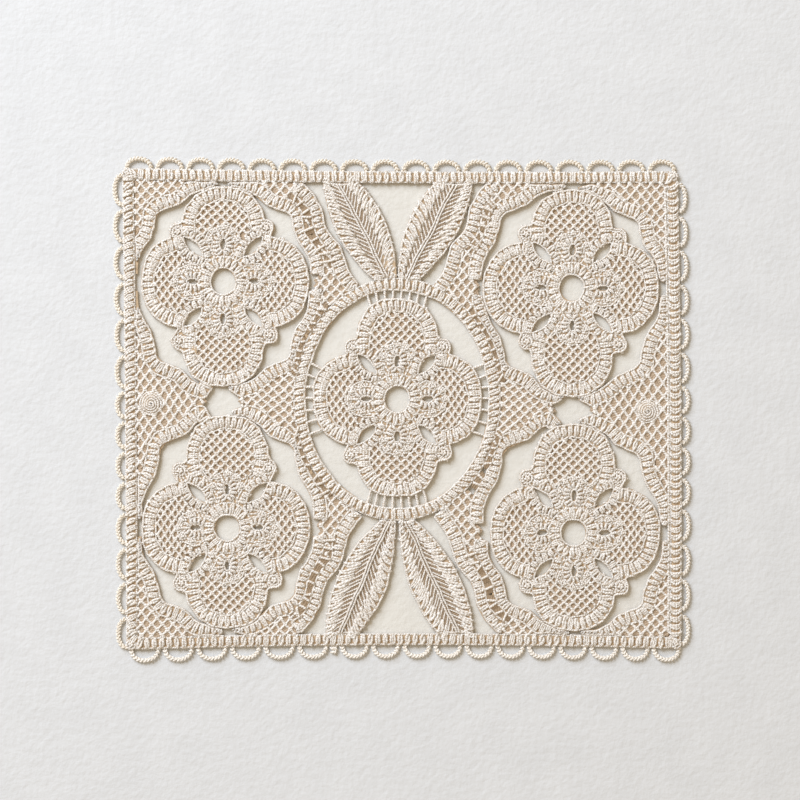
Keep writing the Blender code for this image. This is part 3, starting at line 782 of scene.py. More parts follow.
def random(tree, low, high, seed):
    """A different draw for each point or stitch."""
    index = add(tree, "GeometryNodeInputIndex").outputs[0]
    return add(tree, "FunctionNodeRandomValue", {2: low, 3: high, "ID": index, "Seed": seed},
               data_type="FLOAT").outputs[1]


def axes(tree, vector):
    return add(tree, "ShaderNodeSeparateXYZ", {0: vector}).outputs


def from_axes(tree, **parts):
    return add(tree, "ShaderNodeCombineXYZ", parts).outputs[0]


def above(tree, value, limit):
    """Whether the value is greater than the limit."""
    return add(tree, "FunctionNodeCompare", {0: value, 1: limit},
               operation="GREATER_THAN").outputs[0]


def chosen(tree, test, otherwise, value):
    """The value where the test holds, and the other one elsewhere."""
    return add(tree, "GeometryNodeSwitch", {"Switch": test, "False": otherwise, "True": value},
               input_type="FLOAT").outputs[0]


def moved(tree, geometry, offset):
    return add(tree, "GeometryNodeSetPosition",
               {"Geometry": geometry, "Offset": offset}).outputs[0]


def parted(tree, curves, test):
    """The curves that pass the test, and the rest."""
    return add(tree, "GeometryNodeSeparateGeometry",
               {"Geometry": curves, "Selection": test}, domain="CURVE").outputs


def joined(tree, *geometries):
    join = tree.nodes.new("GeometryNodeJoinGeometry")
    for geometry in geometries:
        tree.links.new(geometry, join.inputs[0])
    return join.outputs[0]


def object_place(tree):
    return add(tree, "ShaderNodeTexCoord").outputs["Object"]


def noise(tree, place, scale, detail, out="Fac"):
    return add(tree, "ShaderNodeTexNoise",
               {"Vector": place, "Scale": scale, "Detail": detail}).outputs[out]


def eased(tree, value, low, high, start=0.0):
    """From start to one as the value goes from low to high."""
    return add(tree, "ShaderNodeMapRange", {
        "Value": value, "From Min": low, "From Max": high, "To Min": start},
        interpolation_type="SMOOTHSTEP").outputs[0]


def blend(tree, share, first, second):
    return add(tree, "ShaderNodeMix", {0: share, 6: first, 7: second},
               data_type="RGBA").outputs[2]


def relief(tree, shader, height, strength, distance):
    """Bump on a shader, from a height."""
    lift = add(tree, "ShaderNodeBump", {
        "Height": height, "Strength": strength, "Distance": distance})
    tree.links.new(lift.outputs[0], shader.inputs["Normal"])


def thread_mesh(tree, curve, size, sides, flat=1.0):
    """Round or flat thread along a curve, with its length and turn stored for the yarn's ply."""
    along = add(tree, "GeometryNodeSplineParameter").outputs["Length"]
    curve = stored(tree, curve, "along", along)
    profile = add(tree, "GeometryNodeCurvePrimitiveCircle",
                  {"Resolution": sides, "Radius": 1.0}, mode="RADIUS").outputs[0]
    turn = add(tree, "GeometryNodeInputPosition").outputs[0]
    profile = stored(tree, profile, "around", turn, "FLOAT_VECTOR")
    profile = add(tree, "GeometryNodeTransform",
                  {"Geometry": profile, "Scale": (1.0, flat, 1.0)}).outputs[0]
    return add(tree, "GeometryNodeCurveToMesh",
               {"Curve": curve, "Profile Curve": profile, "Scale": size,
                "Fill Caps": True}).outputs[0]


def stitch_thread(tree, place, thick, turns, sway):
    """One thread of a stitch, lying along X and rounded up in the middle."""
    line = add(tree, "GeometryNodeCurvePrimitiveLine",
               {"Start": (-STITCH_HALF * MM, 0.0, 0.0), "End": (STITCH_HALF * MM, 0.0, 0.0)})
    line = add(tree, "GeometryNodeResampleCurve",
               {"Curve": line.outputs[0], "Count": STITCH_STEPS}).outputs[0]
    share = add(tree, "GeometryNodeSplineParameter").outputs["Factor"]
    swell = sums(tree, "SINE", sums(tree, "MULTIPLY", share, math.pi))
    turn = sums(tree, "MULTIPLY", sums(tree, "SUBTRACT", share, 0.5), turns * math.tau)
    swing = sums(tree, "MULTIPLY", sums(tree, "SINE", sums(
        tree, "MULTIPLY_ADD", share, 1.6 * math.tau, sway * math.tau)), 0.15 * STITCH_CORD * MM)
    reach = place * STITCH_CORD * MM
    line = moved(tree, line, from_axes(
        tree, Y=sums(tree, "MULTIPLY_ADD", sums(tree, "COSINE", turn), reach, swing),
        Z=sums(tree, "MULTIPLY_ADD", sums(tree, "SINE", turn), 0.6 * reach,
               sums(tree, "MULTIPLY", swell, 0.4 * MM))))
    line = stored(tree, line, "across", sums(tree, "MULTIPLY_ADD", share, 2.0, -1.0))
    bead = sums(tree, "COSINE", sums(tree, "MULTIPLY", share, (STITCH_STEPS - 1) * math.pi))
    size = sums(tree, "ADD", sums(tree, "MULTIPLY", swell, 0.2),
                sums(tree, "MULTIPLY_ADD", bead, 0.14, 0.84))
    size = sums(tree, "MULTIPLY", size, thick * STITCH_CORD * MM)
    return thread_mesh(tree, line, size, THREAD_SIDES)


def stitch_template(tree, places, thick, turns):
    """One stitch of threads side by side."""
    return joined(tree, *(stitch_thread(tree, place, thick, turns, 0.31 * order + thick)
                          for order, place in enumerate(places)))


def grain_template(tree):
    """One slanting grain of a twisted cord."""
    ball = add(tree, "GeometryNodeMeshIcoSphere", {"Radius": 1.0, "Subdivisions": 1}).outputs[0]
    place = add(tree, "GeometryNodeInputPosition").outputs[0]
    parts = axes(tree, place)
    around = from_axes(tree, X=parts["Y"], Y=parts["Z"])
    ball = stored(tree, ball, "around", around, "FLOAT_VECTOR")
    ball = stored(tree, ball, "along", sums(tree, "MULTIPLY", parts["X"], 1.2 * MM))
    size = (STITCH_HALF * MM, STITCH_CORD * MM, STITCH_CORD * MM)
    return add(tree, "GeometryNodeTransform", {"Geometry": ball, "Scale": size}).outputs[0]


def lace_tree():
    """Works guide lines: rows of stitches, grains of twisted cords and net strands."""
    tree = bpy.data.node_groups.new("lace_work", "GeometryNodeTree")
    face = tree.interface
    face.new_socket("Guide", in_out="INPUT", socket_type="NodeSocketGeometry")
    for name in ("Lean", "Unevenness", "Strand Step", "Wobble", "Drift"):
        face.new_socket(name, in_out="INPUT", socket_type="NodeSocketFloat")
    face.new_socket("Seed", in_out="INPUT", socket_type="NodeSocketInt")
    for name in ("Material", "Web Material"):
        face.new_socket(name, in_out="INPUT", socket_type="NodeSocketMaterial")
    face.new_socket("Work", in_out="OUTPUT", socket_type="NodeSocketGeometry")
    given = tree.nodes.new("NodeGroupInput").outputs
    out = tree.nodes.new("NodeGroupOutput")

    curve = add(tree, "GeometryNodeMeshToCurve", {"Mesh": given["Guide"]}).outputs[0]
    kind = named(tree, "kind")
    strands, rows = list(parted(tree, curve, above(tree, kind, ROPE + 0.5)))[:2]

    # stitches and grains stand on the points of their rows
    row = add(tree, "GeometryNodeResampleCurve",
              {"Curve": rows, "Length": named(tree, "pitch")}, mode="LENGTH").outputs[0]
    tangent = add(tree, "GeometryNodeInputTangent").outputs[0]
    row = stored(tree, row, "lean", tangent, "FLOAT_VECTOR")
    parts = axes(tree, tangent)
    heading = sums(tree, "ARCTAN2", parts["Y"], parts["X"])
    is_fine = above(tree, kind, ROW + 0.5)
    is_grain = above(tree, kind, FINE + 0.5)
    crosswise = chosen(tree, is_grain, math.pi / 2, 0.0)
    jitter = sums(tree, "MULTIPLY", random(tree, -1.0, 1.0, given["Seed"]), given["Lean"])
    heading = sums(tree, "ADD", sums(tree, "ADD", heading, crosswise),
                   sums(tree, "ADD", named(tree, "slant"), jitter))
    turned = add(tree, "FunctionNodeEulerToRotation",
                 {0: from_axes(tree, Z=heading)}).outputs[0]
    vary = sums(tree, "ADD", sums(tree, "MULTIPLY", random(
        tree, -1.0, 1.0, sums(tree, "ADD", given["Seed"], 7.0)), given["Unevenness"]), 1.0)
    long = sums(tree, "MULTIPLY", sums(tree, "DIVIDE", named(tree, "half"), STITCH_HALF * MM),
                vary)
    thick = sums(tree, "DIVIDE", named(tree, "cord"), STITCH_CORD * MM)
    wide = sums(tree, "MULTIPLY", thick, sums(tree, "SUBTRACT", 2.0, vary))
    low = sums(tree, "MULTIPLY", thick, THREAD_FLAT)
    size = from_axes(tree, X=long, Y=wide, Z=low)
    shapes = tree.nodes.new("GeometryNodeGeometryToInstance")
    tree.links.new(grain_template(tree), shapes.inputs[0])
    for places, thickness, turns in reversed(STITCHES + FINE_STITCHES):
        tree.links.new(stitch_template(tree, places, thickness, turns), shapes.inputs[0])
    draw = random(tree, 0.0, 0.999, sums(tree, "ADD", given["Seed"], 3.0))
    wide_pick = sums(tree, "FLOOR", sums(tree, "MULTIPLY", draw, len(STITCHES)))
    fine_pick = sums(tree, "FLOOR", sums(
        tree, "MULTIPLY_ADD", draw, len(FINE_STITCHES), len(STITCHES)))
    pick = chosen(tree, is_fine, wide_pick, fine_pick)
    pick = chosen(tree, is_grain, pick, float(len(STITCHES) + len(FINE_STITCHES)))
    stitches = add(tree, "GeometryNodeInstanceOnPoints", {
        "Points": row, "Instance": shapes.outputs[0], "Pick Instance": True,
        "Instance Index": pick, "Rotation": turned, "Scale": size}).outputs[0]
    stitches = add(tree, "GeometryNodeRealizeInstances", {0: stitches}).outputs[0]
    across = named(tree, "across")
    bowed = sums(tree, "MULTIPLY", named(tree, "bow"),
                 sums(tree, "SUBTRACT", 1.0, sums(tree, "MULTIPLY", across, across)))
    stitches = moved(tree, stitches, scaled(tree, named(tree, "lean", "FLOAT_VECTOR"), bowed))

    # strands wander a little and are not of one thickness
    strands = add(tree, "GeometryNodeResampleCurve",
                  {"Curve": strands, "Length": given["Strand Step"]},
                  mode="LENGTH").outputs[0]
    place = add(tree, "GeometryNodeInputPosition").outputs[0]
    for scale, reach in ((170.0, "Wobble"), (45.0, "Drift")):
        shift = vectors(tree, "SUBTRACT", noise(tree, place, scale, 0.0, "Color"),
                        (0.5, 0.5, 0.5))
        shift = scaled(tree, shift, sums(tree, "MULTIPLY", given[reach], 4.0))
        strands = moved(tree, strands, vectors(tree, "MULTIPLY", shift, (1.0, 1.0, 0.1)))
    uneven = noise(tree, place, 420.0, 0.0)
    radius = sums(tree, "MULTIPLY", named(tree, "cord"),
                  sums(tree, "MULTIPLY_ADD", uneven, 0.7, 0.65))
    cords = thread_mesh(tree, strands, radius, THREAD_SIDES, THREAD_FLAT)
    # Strands of the filmed kind get a thin flat film of painted shade, hung a little lower.
    shade_filmed = parted(tree, strands, above(tree, kind, STRAND + 0.5))[0]
    hung = moved(tree, shade_filmed, (0.0, 0.0, -SHADE_FILM_DROP * MM))
    shade_film = thread_mesh(tree, hung, named(tree, "half"), 4, 0.12)
    shade_film = add(tree, "GeometryNodeSetShadeSmooth", {"Geometry": shade_film, "Shade Smooth": False})
    shade_film = add(tree, "GeometryNodeSetMaterial",
              {"Geometry": shade_film.outputs[0], "Material": given["Web Material"]}).outputs[0]
    work = add(tree, "GeometryNodeRealizeInstances",
               {0: joined(tree, cords, stitches)}).outputs[0]
    work = add(tree, "GeometryNodeSetShadeSmooth", {"Geometry": work}).outputs[0]
    work = add(tree, "GeometryNodeSetMaterial",
               {"Geometry": work, "Material": given["Material"]}).outputs[0]
    tree.links.new(joined(tree, shade_film, work), out.inputs[0])
    return tree


def settle(body, modifier):
    """Turns what the modifier makes into the piece's own plain mesh."""
    bpy.context.view_layer.update()
    shape = body.evaluated_get(bpy.context.evaluated_depsgraph_get())
    mesh = bpy.data.meshes.new_from_object(shape)
    body.modifiers.remove(modifier)
    old = body.data
    body.data = mesh
    mesh.name = body.name
    bpy.data.meshes.remove(old)
    keep = ("position", "along", "around", "sharp_face", "material_index")
    for name in [layer.name for layer in mesh.attributes]:
        if name not in keep and not name.startswith("."):
            mesh.attributes.remove(mesh.attributes[name])


def weave(name, guide, material, nodes, shade_film=None):
    """Works one piece from its guide lines and hands it to the frame."""
    work = bpy.context.scene.lace_work
    body = placed(name, guide.mesh(name))
    tree = bpy.data.node_groups.get("lace_work") or lace_tree()
    modifier = body.modifiers.new("lace_work", "NODES")
    modifier.node_group = tree
    values = {
        "Lean": work.lean, "Unevenness": work.unevenness, "Strand Step": work.strand_step,
        "Wobble": work.wobble, "Drift": work.drift, "Seed": work.seed,
        # The film along the strands takes a material of painted shade.
        "Material": material, "Web Material": shade_film or shade_film_cotton(),
    }
    for item in tree.interface.items_tree:
        if item.name in values and item.in_out == "INPUT":
            modifier[item.identifier] = values[item.name]
    settle(body, modifier)
    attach(body, "root")
    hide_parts(*nodes)
    return body


# ---------------------------------------------------------------- materials
def thread_group():
    """Cotton thread: its light colour on the raised crown, painted shade at its flanks, in the
    grooves between its plies and in small random specks.
    """
    group = bpy.data.node_groups.get("cotton_thread")
    if group:
        return group
    group = bpy.data.node_groups.new("cotton_thread", "ShaderNodeTree")
    face = group.interface
    for name in ("Flank", "Crown", "Ply Pitch", "Wear", "Specks"):
        face.new_socket(name, in_out="INPUT", socket_type="NodeSocketFloat")
    for name in ("Deep", "Light"):
        face.new_socket(name, in_out="INPUT", socket_type="NodeSocketColor")
    face.new_socket("Color", in_out="OUTPUT", socket_type="NodeSocketColor")
    face.new_socket("Roughness", in_out="OUTPUT", socket_type="NodeSocketFloat")
    face.new_socket("Height", in_out="OUTPUT", socket_type="NodeSocketFloat")
    given = group.nodes.new("NodeGroupInput").outputs
    out = group.nodes.new("NodeGroupOutput").inputs

    place = object_place(group)
    around = add(group, "ShaderNodeAttribute", attribute_name="around").outputs["Vector"]
    along = add(group, "ShaderNodeAttribute", attribute_name="along").outputs["Fac"]
    turn = axes(group, vectors(group, "NORMALIZE", around))
    angle = sums(group, "ARCTAN2", turn["Y"], turn["X"])
    run = sums(group, "MULTIPLY", sums(group, "DIVIDE", along, given["Ply Pitch"]), math.tau)
    ply = sums(group, "SINE", sums(group, "MULTIPLY_ADD", angle, 2.0, run))
    ply = sums(group, "MULTIPLY_ADD", ply, 0.5, 0.5)
    fibre = noise(group, place, 1500.0, 2.0)
    patch = noise(group, place, 1250.0, 1.0)
    # Painted shade: where the thread's profile faces sideways its colour goes to the shade colour,
    # with fibre noise ragging the border.
    raised = sums(group, "ADD", sums(group, "ABSOLUTE", turn["Y"]), sums(
        group, "MULTIPLY", sums(group, "SUBTRACT", fibre, 0.5), given["Wear"]))
    mask = eased(group, raised, given["Flank"], given["Crown"])
    clear = eased(group, patch, 0.36, 0.53, sums(group, "SUBTRACT", 1.0, given["Specks"]))
    mask = sums(group, "MULTIPLY", mask, clear)
    # Painted shade in the grooves between the plies.
    mask = sums(group, "MULTIPLY", mask, sums(group, "MULTIPLY_ADD", ply, 0.25, 0.75))
    group.links.new(blend(group, mask, given["Deep"], given["Light"]), out["Color"])
    group.links.new(sums(group, "MULTIPLY_ADD", fibre, 0.2, 0.72), out["Roughness"])
    height = sums(group, "MULTIPLY_ADD", ply, 0.5, sums(group, "MULTIPLY", patch, 1.6))
    group.links.new(sums(group, "ADD", height, sums(group, "MULTIPLY", fibre, 0.8)),
                    out["Height"])
    return group


def cotton(name, flank=0.05, crown=0.5, specks=0.62, deep=None, light=None):
    """Material of one kind of work: its light colour on the raised threads, painted shade at their
    flanks and between them.
    """
    colours = bpy.context.scene.lace_colours
    material, tree, shader = new_material(name)
    shader.inputs["Sheen Weight"].default_value = 0.2
    shader.inputs["Sheen Roughness"].default_value = 0.5
    thread = add(tree, "ShaderNodeGroup", node_tree=thread_group())
    for socket, value in (("Flank", flank), ("Crown", crown), ("Wear", 0.5),
                          ("Specks", specks), ("Ply Pitch", PLY_PITCH * MM),
                          ("Deep", (*(deep or colours.deep), 1.0)),
                          ("Light", (*(light or colours.light), 1.0))):
        thread.inputs[socket].default_value = value
    tree.links.new(thread.outputs["Color"], shader.inputs["Base Color"])
    tree.links.new(thread.outputs["Roughness"], shader.inputs["Roughness"])
    relief(tree, shader, thread.outputs["Height"], 0.8, 0.0006)
    return material


def shade_cotton(name, colour, specks, lift):
    """Material of one dark film of painted shade, made once, its raised parts lighter by lift."""
    return bpy.data.materials.get(name) or cotton(
        name, 0.3, 1.2, specks, deep=tuple(colour), light=tuple(c * lift for c in colour))


def shade_film_cotton():
    """Thin tan film of painted shade that hangs along the net strands, standing for the shaded holes
    of the net.
    """
    return shade_cotton("shade_film_cotton", bpy.context.scene.lace_colours.shade_film, 0.4, 1.2)


def slit_shadow_cotton():
    """Dark film of painted shadow in the slits beside the ribs of a leaf and in the lanes between
    two tapes.
    """
    return shade_cotton("slit_shadow_cotton", bpy.context.scene.lace_colours.shadow_slit, 0.2, 1.3)


def tape_cotton():
    """Cotton of the tapes and flowers, made once."""
    return bpy.data.materials.get("tape_cotton") or cotton("tape_cotton")


def shaded_ground_cotton(name, colour):
    """Close base between the stitches: painted shade colour, varied at random, in small crossed
    threads.
    """
    material, tree, shader = new_material(name)
    place = object_place(tree)
    dark, pale = ((*[c * share for c in colour], 1.0) for share in (0.7, 1.3))
    tint = blend(tree, noise(tree, place, 420.0, 3.0), dark, pale)
    tree.links.new(tint, shader.inputs["Base Color"])
    fine = add(tree, "ShaderNodeTexVoronoi", {"Vector": place, "Scale": 900.0})
    relief(tree, shader, fine.outputs["Distance"], 0.5, 0.0004)
    shader.inputs["Roughness"].default_value = 0.9
    return material


# ------------------------------------------------------------------- pieces
def make_ground():
    """Thin close base under every tape, flower and leaf, lower under the petals' net, coloured with
    painted shade.
    """
    form = bmesh.new()
    for node in frame["nodes"]:
        if node.startswith(("edging", "ladder", "dot")):
            continue
        layers = ((0.0, GROUND_TOP, 0),)
        if node.startswith("net"):
            layers = ((0.0, FIELD_TOP - 0.15, 1),)
        if node.startswith("flower"):
            layers = ((FLOWER_TOP, GROUND_TOP, 0), (FIELD_FLOOR, FIELD_TOP, 1))
        for cut, level, look in layers:
            corners = {}
            for face in flat_faces(node, cut):
                for x, y in face:
                    if (x, y) not in corners:
                        corners[x, y] = form.verts.new((x * MM, y * MM, level * MM))
                if len(set(face)) == 3:
                    made = form.faces.new([corners[point] for point in wound(face)])
                    made.material_index = look
    moves = {}
    for edge in form.edges:
        if len(edge.link_faces) != 1:
            continue
        a, b = edge.verts
        along = (b.co - a.co).normalized()
        inward = Vector((-along.y, along.x, 0.0))
        if (edge.link_faces[0].calc_center_median() - a.co).dot(inward) < 0.0:
            inward = -inward
        for vertex in edge.verts:
            moves.setdefault(vertex, []).append(inward)
    for vertex, ways in moves.items():
        vertex.co += sum(ways, Vector((0.0, 0.0, 0.0))).normalized() * GROUND_INSET * MM
    form.normal_update()
    bmesh.ops.solidify(form, geom=form.faces[:], thickness=GROUND_THICK * MM)
    bmesh.ops.recalc_face_normals(form, faces=form.faces[:])
    mesh = bpy.data.meshes.new("mat_ground")
    form.to_mesh(mesh)
    form.free()
    body = placed("mat_ground", mesh)
    # Painted shade: the base under the tapes takes the creases' shade colour, and the lower plate
    # under the nets the tan shade of their holes.
    colours = bpy.context.scene.lace_colours
    mesh.materials.append(shaded_ground_cotton("shaded_ground_cotton", colours.deep))
    mesh.materials.append(shaded_ground_cotton("field_shade_cotton", colours.shade_film))
    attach(body, "root")
    return body


def make_band(guide):
    """Row of upright stitches round the mat, roped at both edges."""
    path = []
    slants = []
    bows = []
    pitches = []
    for side, (start, end, _, _, slant, bow) in SIDES.items():
        cut = BAND_CORNER / side_length(side)
        steps = 90
        for i in range(steps + 1):
            path.append(side_point(side, cut + (1.0 - 2.0 * cut) * i / steps)[0])
            slants.append(math.radians(slant))
            bows.append(bow)
            pitches.append(BAND_PITCH[side])
    middle = shifted(path, (BAND_OUT - BAND_IN) / 2.0, True)
    half, cord = BAND_ROW
    guide.row(middle, half, pitches, cord, slant=slants, bow=bows, closed=True)
    for edge in (BAND_OUT - 0.5, 0.5 - BAND_IN):
        guide.rope(shifted(path, edge, True), BAND_CORD, closed=True, level=EDGE_LEVEL)
    along = [side_point("right", share)[0] for share in steps_between(0.03, 0.97, 0.004)]
    cord, level = INNER_CORD
    guide.rope(shifted(along, -BAND_IN - 1.0), cord, level=level)
    for corner in CORNERS.values():
        make_puff(guide, corner, CORNER_PUFF)


def make_edging(guide, side):
    """Loops along one side, each of two rows of slanting grains."""
    height = BAND_IN + SIDES[side][3]
    foot = BAND_OUT - 0.4
    loops = [(middle, half, height) for middle, half in loops_of(side)]
    if side == KNOB[0]:
        loops.append((KNOB[1], KNOB[2] - 1.2, BAND_IN + KNOB[3]))
    for middle, half, rise in loops:
        for turn, deep in LOOP_ROWS:
            cord = arch(side, middle, half - deep, rise - deep - 0.1, foot, 19)
            guide.add(cord, kind=ROPE, slant=math.radians(turn), level=LOOP_LEVEL,
                      **LOOP_CHAIN)


def make_ring(guide):
    """Oval tape whose stitches lean a little with its turn."""
    path = oval(*MIDDLE, RING_X, RING_Y, 180)
    lean, change = RING_LEAN
    slants = [math.radians((lean - change * math.sin(2.0 * turn)) * abs(math.cos(turn)))
              for turn in (math.tau * i / 180 for i in range(180))]
    guide.row(path, *RING_ROW, closed=True, slant=slants)
    guide.rim(shifted(path, RING_HALF - 0.6, True), closed=True, level=EDGE_LEVEL + 0.2)
    guide.rope(shifted(path, 0.6 - RING_HALF, True), RING_CORD, closed=True,
               level=EDGE_LEVEL + 0.2)


def make_ladder(guide, side):
    """Bars from the ring to one petal of the middle flower."""
    heading, spread, cells = LADDERS[side]
    x, y = MIDDLE
    for i in range(cells + 1):
        angle = math.radians(heading - spread + 2.0 * spread * i / cells)
        near = flower_reach("middle", angle) - BAR_TUCK
        far = ring_reach(angle, -RING_HALF) + BAR_TUCK
        guide.strand([(x + r * math.cos(angle), y + r * math.sin(angle))
                      for r in (near, (near + far) / 2.0, far)], BAR_CORD, level=EDGE_LEVEL)


def flower_regions(name):
    """Function that tells which part of a flower a point belongs to."""
    x, y = FLOWERS[name][:2]
    loops = node_loops("flower_" + name)
    fields = node_loops("flower_" + name, FIELD_FLOOR)
    tears = [tear_of(name, petal)[:2] for petal in petals_of(name)]
    slot_x, slot_y = SLOT_TO[0] - SLOT_FROM[0], SLOT_TO[1] - SLOT_FROM[1]
    slot_long = math.hypot(slot_x, slot_y)

    def region(point):
        if not inside(point, loops):
            return "open"
        px, py = point[0] - x, point[1] - y
        if math.hypot(px / EYE_RING[0], py / EYE_RING[1]) < 1.0:
            return "eye"
        if min(math.dist((px, py), lobe) for lobe in LOBES[name]) < LOBE_RADIUS:
            return "lobe"
        ax, ay = abs(px) - SLOT_FROM[0], abs(py) - SLOT_FROM[1]
        share = (ax * slot_x + ay * slot_y) / slot_long ** 2
        off = abs(ax * slot_y - ay * slot_x) / slot_long
        if -0.15 < share < 1.15:
            swell = SLOT_HALF * math.sin(math.pi * min(1.0, max(0.0, share)))
            if off < swell + SLOT_TAPE:
                return "slot"
        if min(math.dist(point, tear) for tear in tears) < CLUSTER_RADIUS:
            return "cluster"
        return "net" if inside(point, fields) else "border"

    return region, loops, fields


def tear_of(name, petal):
    """Centre and half axes of the teardrop in one petal."""
    x, y = FLOWERS[name][:2]
    heading, cx, cy = petal[:3]
    if heading in (90.0, 270.0):
        return x, y + math.copysign(TEAR_AT[1], cy), TEAR[0], TEAR[1]
    return x + math.copysign(TEAR_AT[0], cx), y, TEAR[1], TEAR[0]


def make_flower(guide, name):
    """Eye, petals with their nets and teardrops, slots, lobes and rims of one flower."""
    x, y = FLOWERS[name][:2]
    region, loops, fields = flower_regions(name)
    covered = []

    def only(*regions):
        return lambda point: region(point) in regions

    def row(path, half, pitch, cord, where=None, closed=False, fine=False):
        (guide.fine if fine else guide.row)(path, half, pitch, cord, where=where, closed=closed)
        halves = half if isinstance(half, list) else [half] * len(path)
        covered.extend((point, reach) for point, reach in zip(path, halves)
                       if where is None or where(point))

    wide, high = EYE_OVAL
    row(oval(x, y, wide, high, 96), *EYE_ROW, closed=True)
    edge = EYE_ROW[0] - 0.2
    guide.rope(oval(x, y, wide + edge, high + edge, 120), EYE_CORD, closed=True,
               level=TAPE_MID + 0.1)
    guide.rim(oval(x, y, EYE[0] + 0.75, EYE[1] + 0.75, 60), EYE_CORD, closed=True)
    for petal in petals_of(name):
        heading, cx, cy, rx, ry = petal
        tx, ty, wide, high = tear_of(name, petal)
        row(arc(tx, ty, wide + TEAR_AWAY[0], high + TEAR_AWAY[1], heading - TEAR_TURN,
                heading + TEAR_TURN, 60),
            *TEAR_ROW, where=only("cluster", "slot"), fine=True)
        for turn in PUFF_TURNS:
            angle = math.radians(heading + turn)
            middle = (tx + (wide + PUFF_AWAY[0]) * math.cos(angle),
                      ty + (high + PUFF_AWAY[1]) * math.sin(angle))
            if region(middle) == "cluster":
                make_puff(guide, middle, 1.0)
                covered.append((middle, PUFF_REACH))
        inset = FIELD_RIM / 2.0 + 0.2
        row(arc(x + cx, y + cy, rx - inset, ry - inset, heading - PETAL_TURN,
                heading + PETAL_TURN, 120, PETAL_SQUARE), *PETAL_ROW, where=only("border"))
    for loop in fields:
        guide.rim(shifted(spaced(loop, 1.0), -0.65, True), 0.7, closed=True,
                  where=only("border", "cluster", "net"))
        make_petal_net(guide, loop, (x, y),
                       lambda point, loop=loop: inside(point, [loop]) and region(point) == "net")
    for sx in (-1, 1):
        for sy in (-1, 1):
            count = 24
            line = [(x + sx * (SLOT_FROM[0] + (SLOT_TO[0] - SLOT_FROM[0]) * t),
                     y + sy * (SLOT_FROM[1] + (SLOT_TO[1] - SLOT_FROM[1]) * t))
                    for t in (i / count for i in range(-2, count + 3))]
            swell = [SLOT_HALF * math.sin(math.pi * min(1.0, max(0.0, (i - 2) / count)))
                     for i in range(len(line))]
            for way in (-1, 1):
                row(shifted(line, [way * (s + SLOT_AWAY) for s in swell]), *SLOT_ROW,
                    where=only("slot"))
    for lx, ly in LOBES[name]:
        centre = (x + lx, y + ly)
        make_puff(guide, centre, LOBE_PUFF)
        covered.append((centre, LOBE_RADIUS - 1.0))
    for loop in loops:
        if loop is loops[0]:
            guide.rim(shifted(spaced(loop, 1.0), 0.7, True), closed=True)
        elif math.dist(loop[0], (x, y)) > EYE[1] + 2.0:
            guide.rim(shifted(spaced(loop, 0.8), -0.7, True), 0.72, closed=True)
    fill_bare(guide, (x, y), loops, covered, region)


def make_puff(guide, centre, size):
    """Raised rosette of wound grains."""
    for radius, rise in PUFF_RINGS:
        guide.add(oval(*centre, radius * size, radius * size, 16), kind=ROPE, half=1.35 * size,
                  pitch=1.75, cord=0.92, slant=math.radians(PUFF_LEAN), level=TAPE_MID + rise,
                  closed=True)


def fill_bare(guide, centre, loops, covered, region):
    """Short curled stitches wherever the rows leave the base bare."""
    (x0, y0), (x1, y1) = box_of(loops[0])
    draw = Random(FILL_SEED)
    for j in range(int((y1 - y0) / FILL_PITCH)):
        for i in range(int((x1 - x0) / FILL_PITCH)):
            point = (x0 + (i + 0.5 * (j % 2)) * FILL_PITCH, y0 + j * FILL_PITCH)
            if region(point) in ("open", "net", "eye"):
                continue
            if any(math.dist(point, middle) < reach - 0.5 for middle, reach in covered):
                continue
            angle = (math.atan2(point[1] - centre[1], point[0] - centre[0])
                     + draw.uniform(-FILL_TURN, FILL_TURN))
            c, s = math.cos(angle), math.sin(angle)
            ends = [(point[0] - c * FILL_HALF, point[1] - s * FILL_HALF),
                    (point[0] + c * FILL_HALF, point[1] + s * FILL_HALF)]
            if all(region(end) not in ("open", "net") for end in ends):
                guide.add(ends, kind=ROPE, half=1.6, pitch=2.2, cord=0.88)


def lattice(guide, box, cell, holds, tuck, cord, shade_film, level):
    """Two families of slanting strands over the places where the test holds."""
    wide, high = cell
    slope = high / wide
    dx, dy = unit(1.0, slope)
    (x0, y0), (x1, y1) = box
    step = 0.5
    for way in (-1, 1):
        places = [y - way * slope * x for x in (x0, x1) for y in (y0, y1)]
        for line in range(math.floor(min(places) / high), math.ceil(max(places) / high) + 1):
            count = int((x1 - x0) / step) + 2
            path = [(x0 + i * step, way * slope * (x0 + i * step) + line * high)
                    for i in range(-1, count)]
            for stretch in kept(path, holds):
                first, last = path[stretch[0]], path[stretch[-1]]
                ends = [(first[0] - dx * tuck, first[1] - way * dy * tuck),
                        (last[0] + dx * tuck, last[1] + way * dy * tuck)]
                line_path = [ends[0]] + [path[i] for i in stretch[::2]] + [ends[1]]
                cords = [cord * (1.0 + KNOT * math.cos(2.0 * math.tau * x / wide))
                         for x, _ in line_path]
                # The film of painted shade, where given, fills the holes between the strands.
                guide.strand(line_path, cords, shade_film=shade_film, level=level - way * CROSSING_RISE)


def box_of(loop):
    """Lowest and highest corner round a loop."""
    xs = [point[0] for point in loop]
    ys = [point[1] for point in loop]
    return (min(xs), min(ys)), (max(xs), max(ys))


def make_petal_net(guide, field, centre, holds):
    """Net in one petal, with the cell that its heading asks for."""
    box = box_of(field)
    across = abs(box[0][0] + box[1][0] - 2.0 * centre[0])
    upright = across < abs(box[0][1] + box[1][1] - 2.0 * centre[1])
    cell = PETAL_CELLS["upright" if upright else "side"]
    lattice(guide, box, cell, holds, PETAL_TUCK, PETAL_STRAND, 0.0, PETAL_NET_MID)


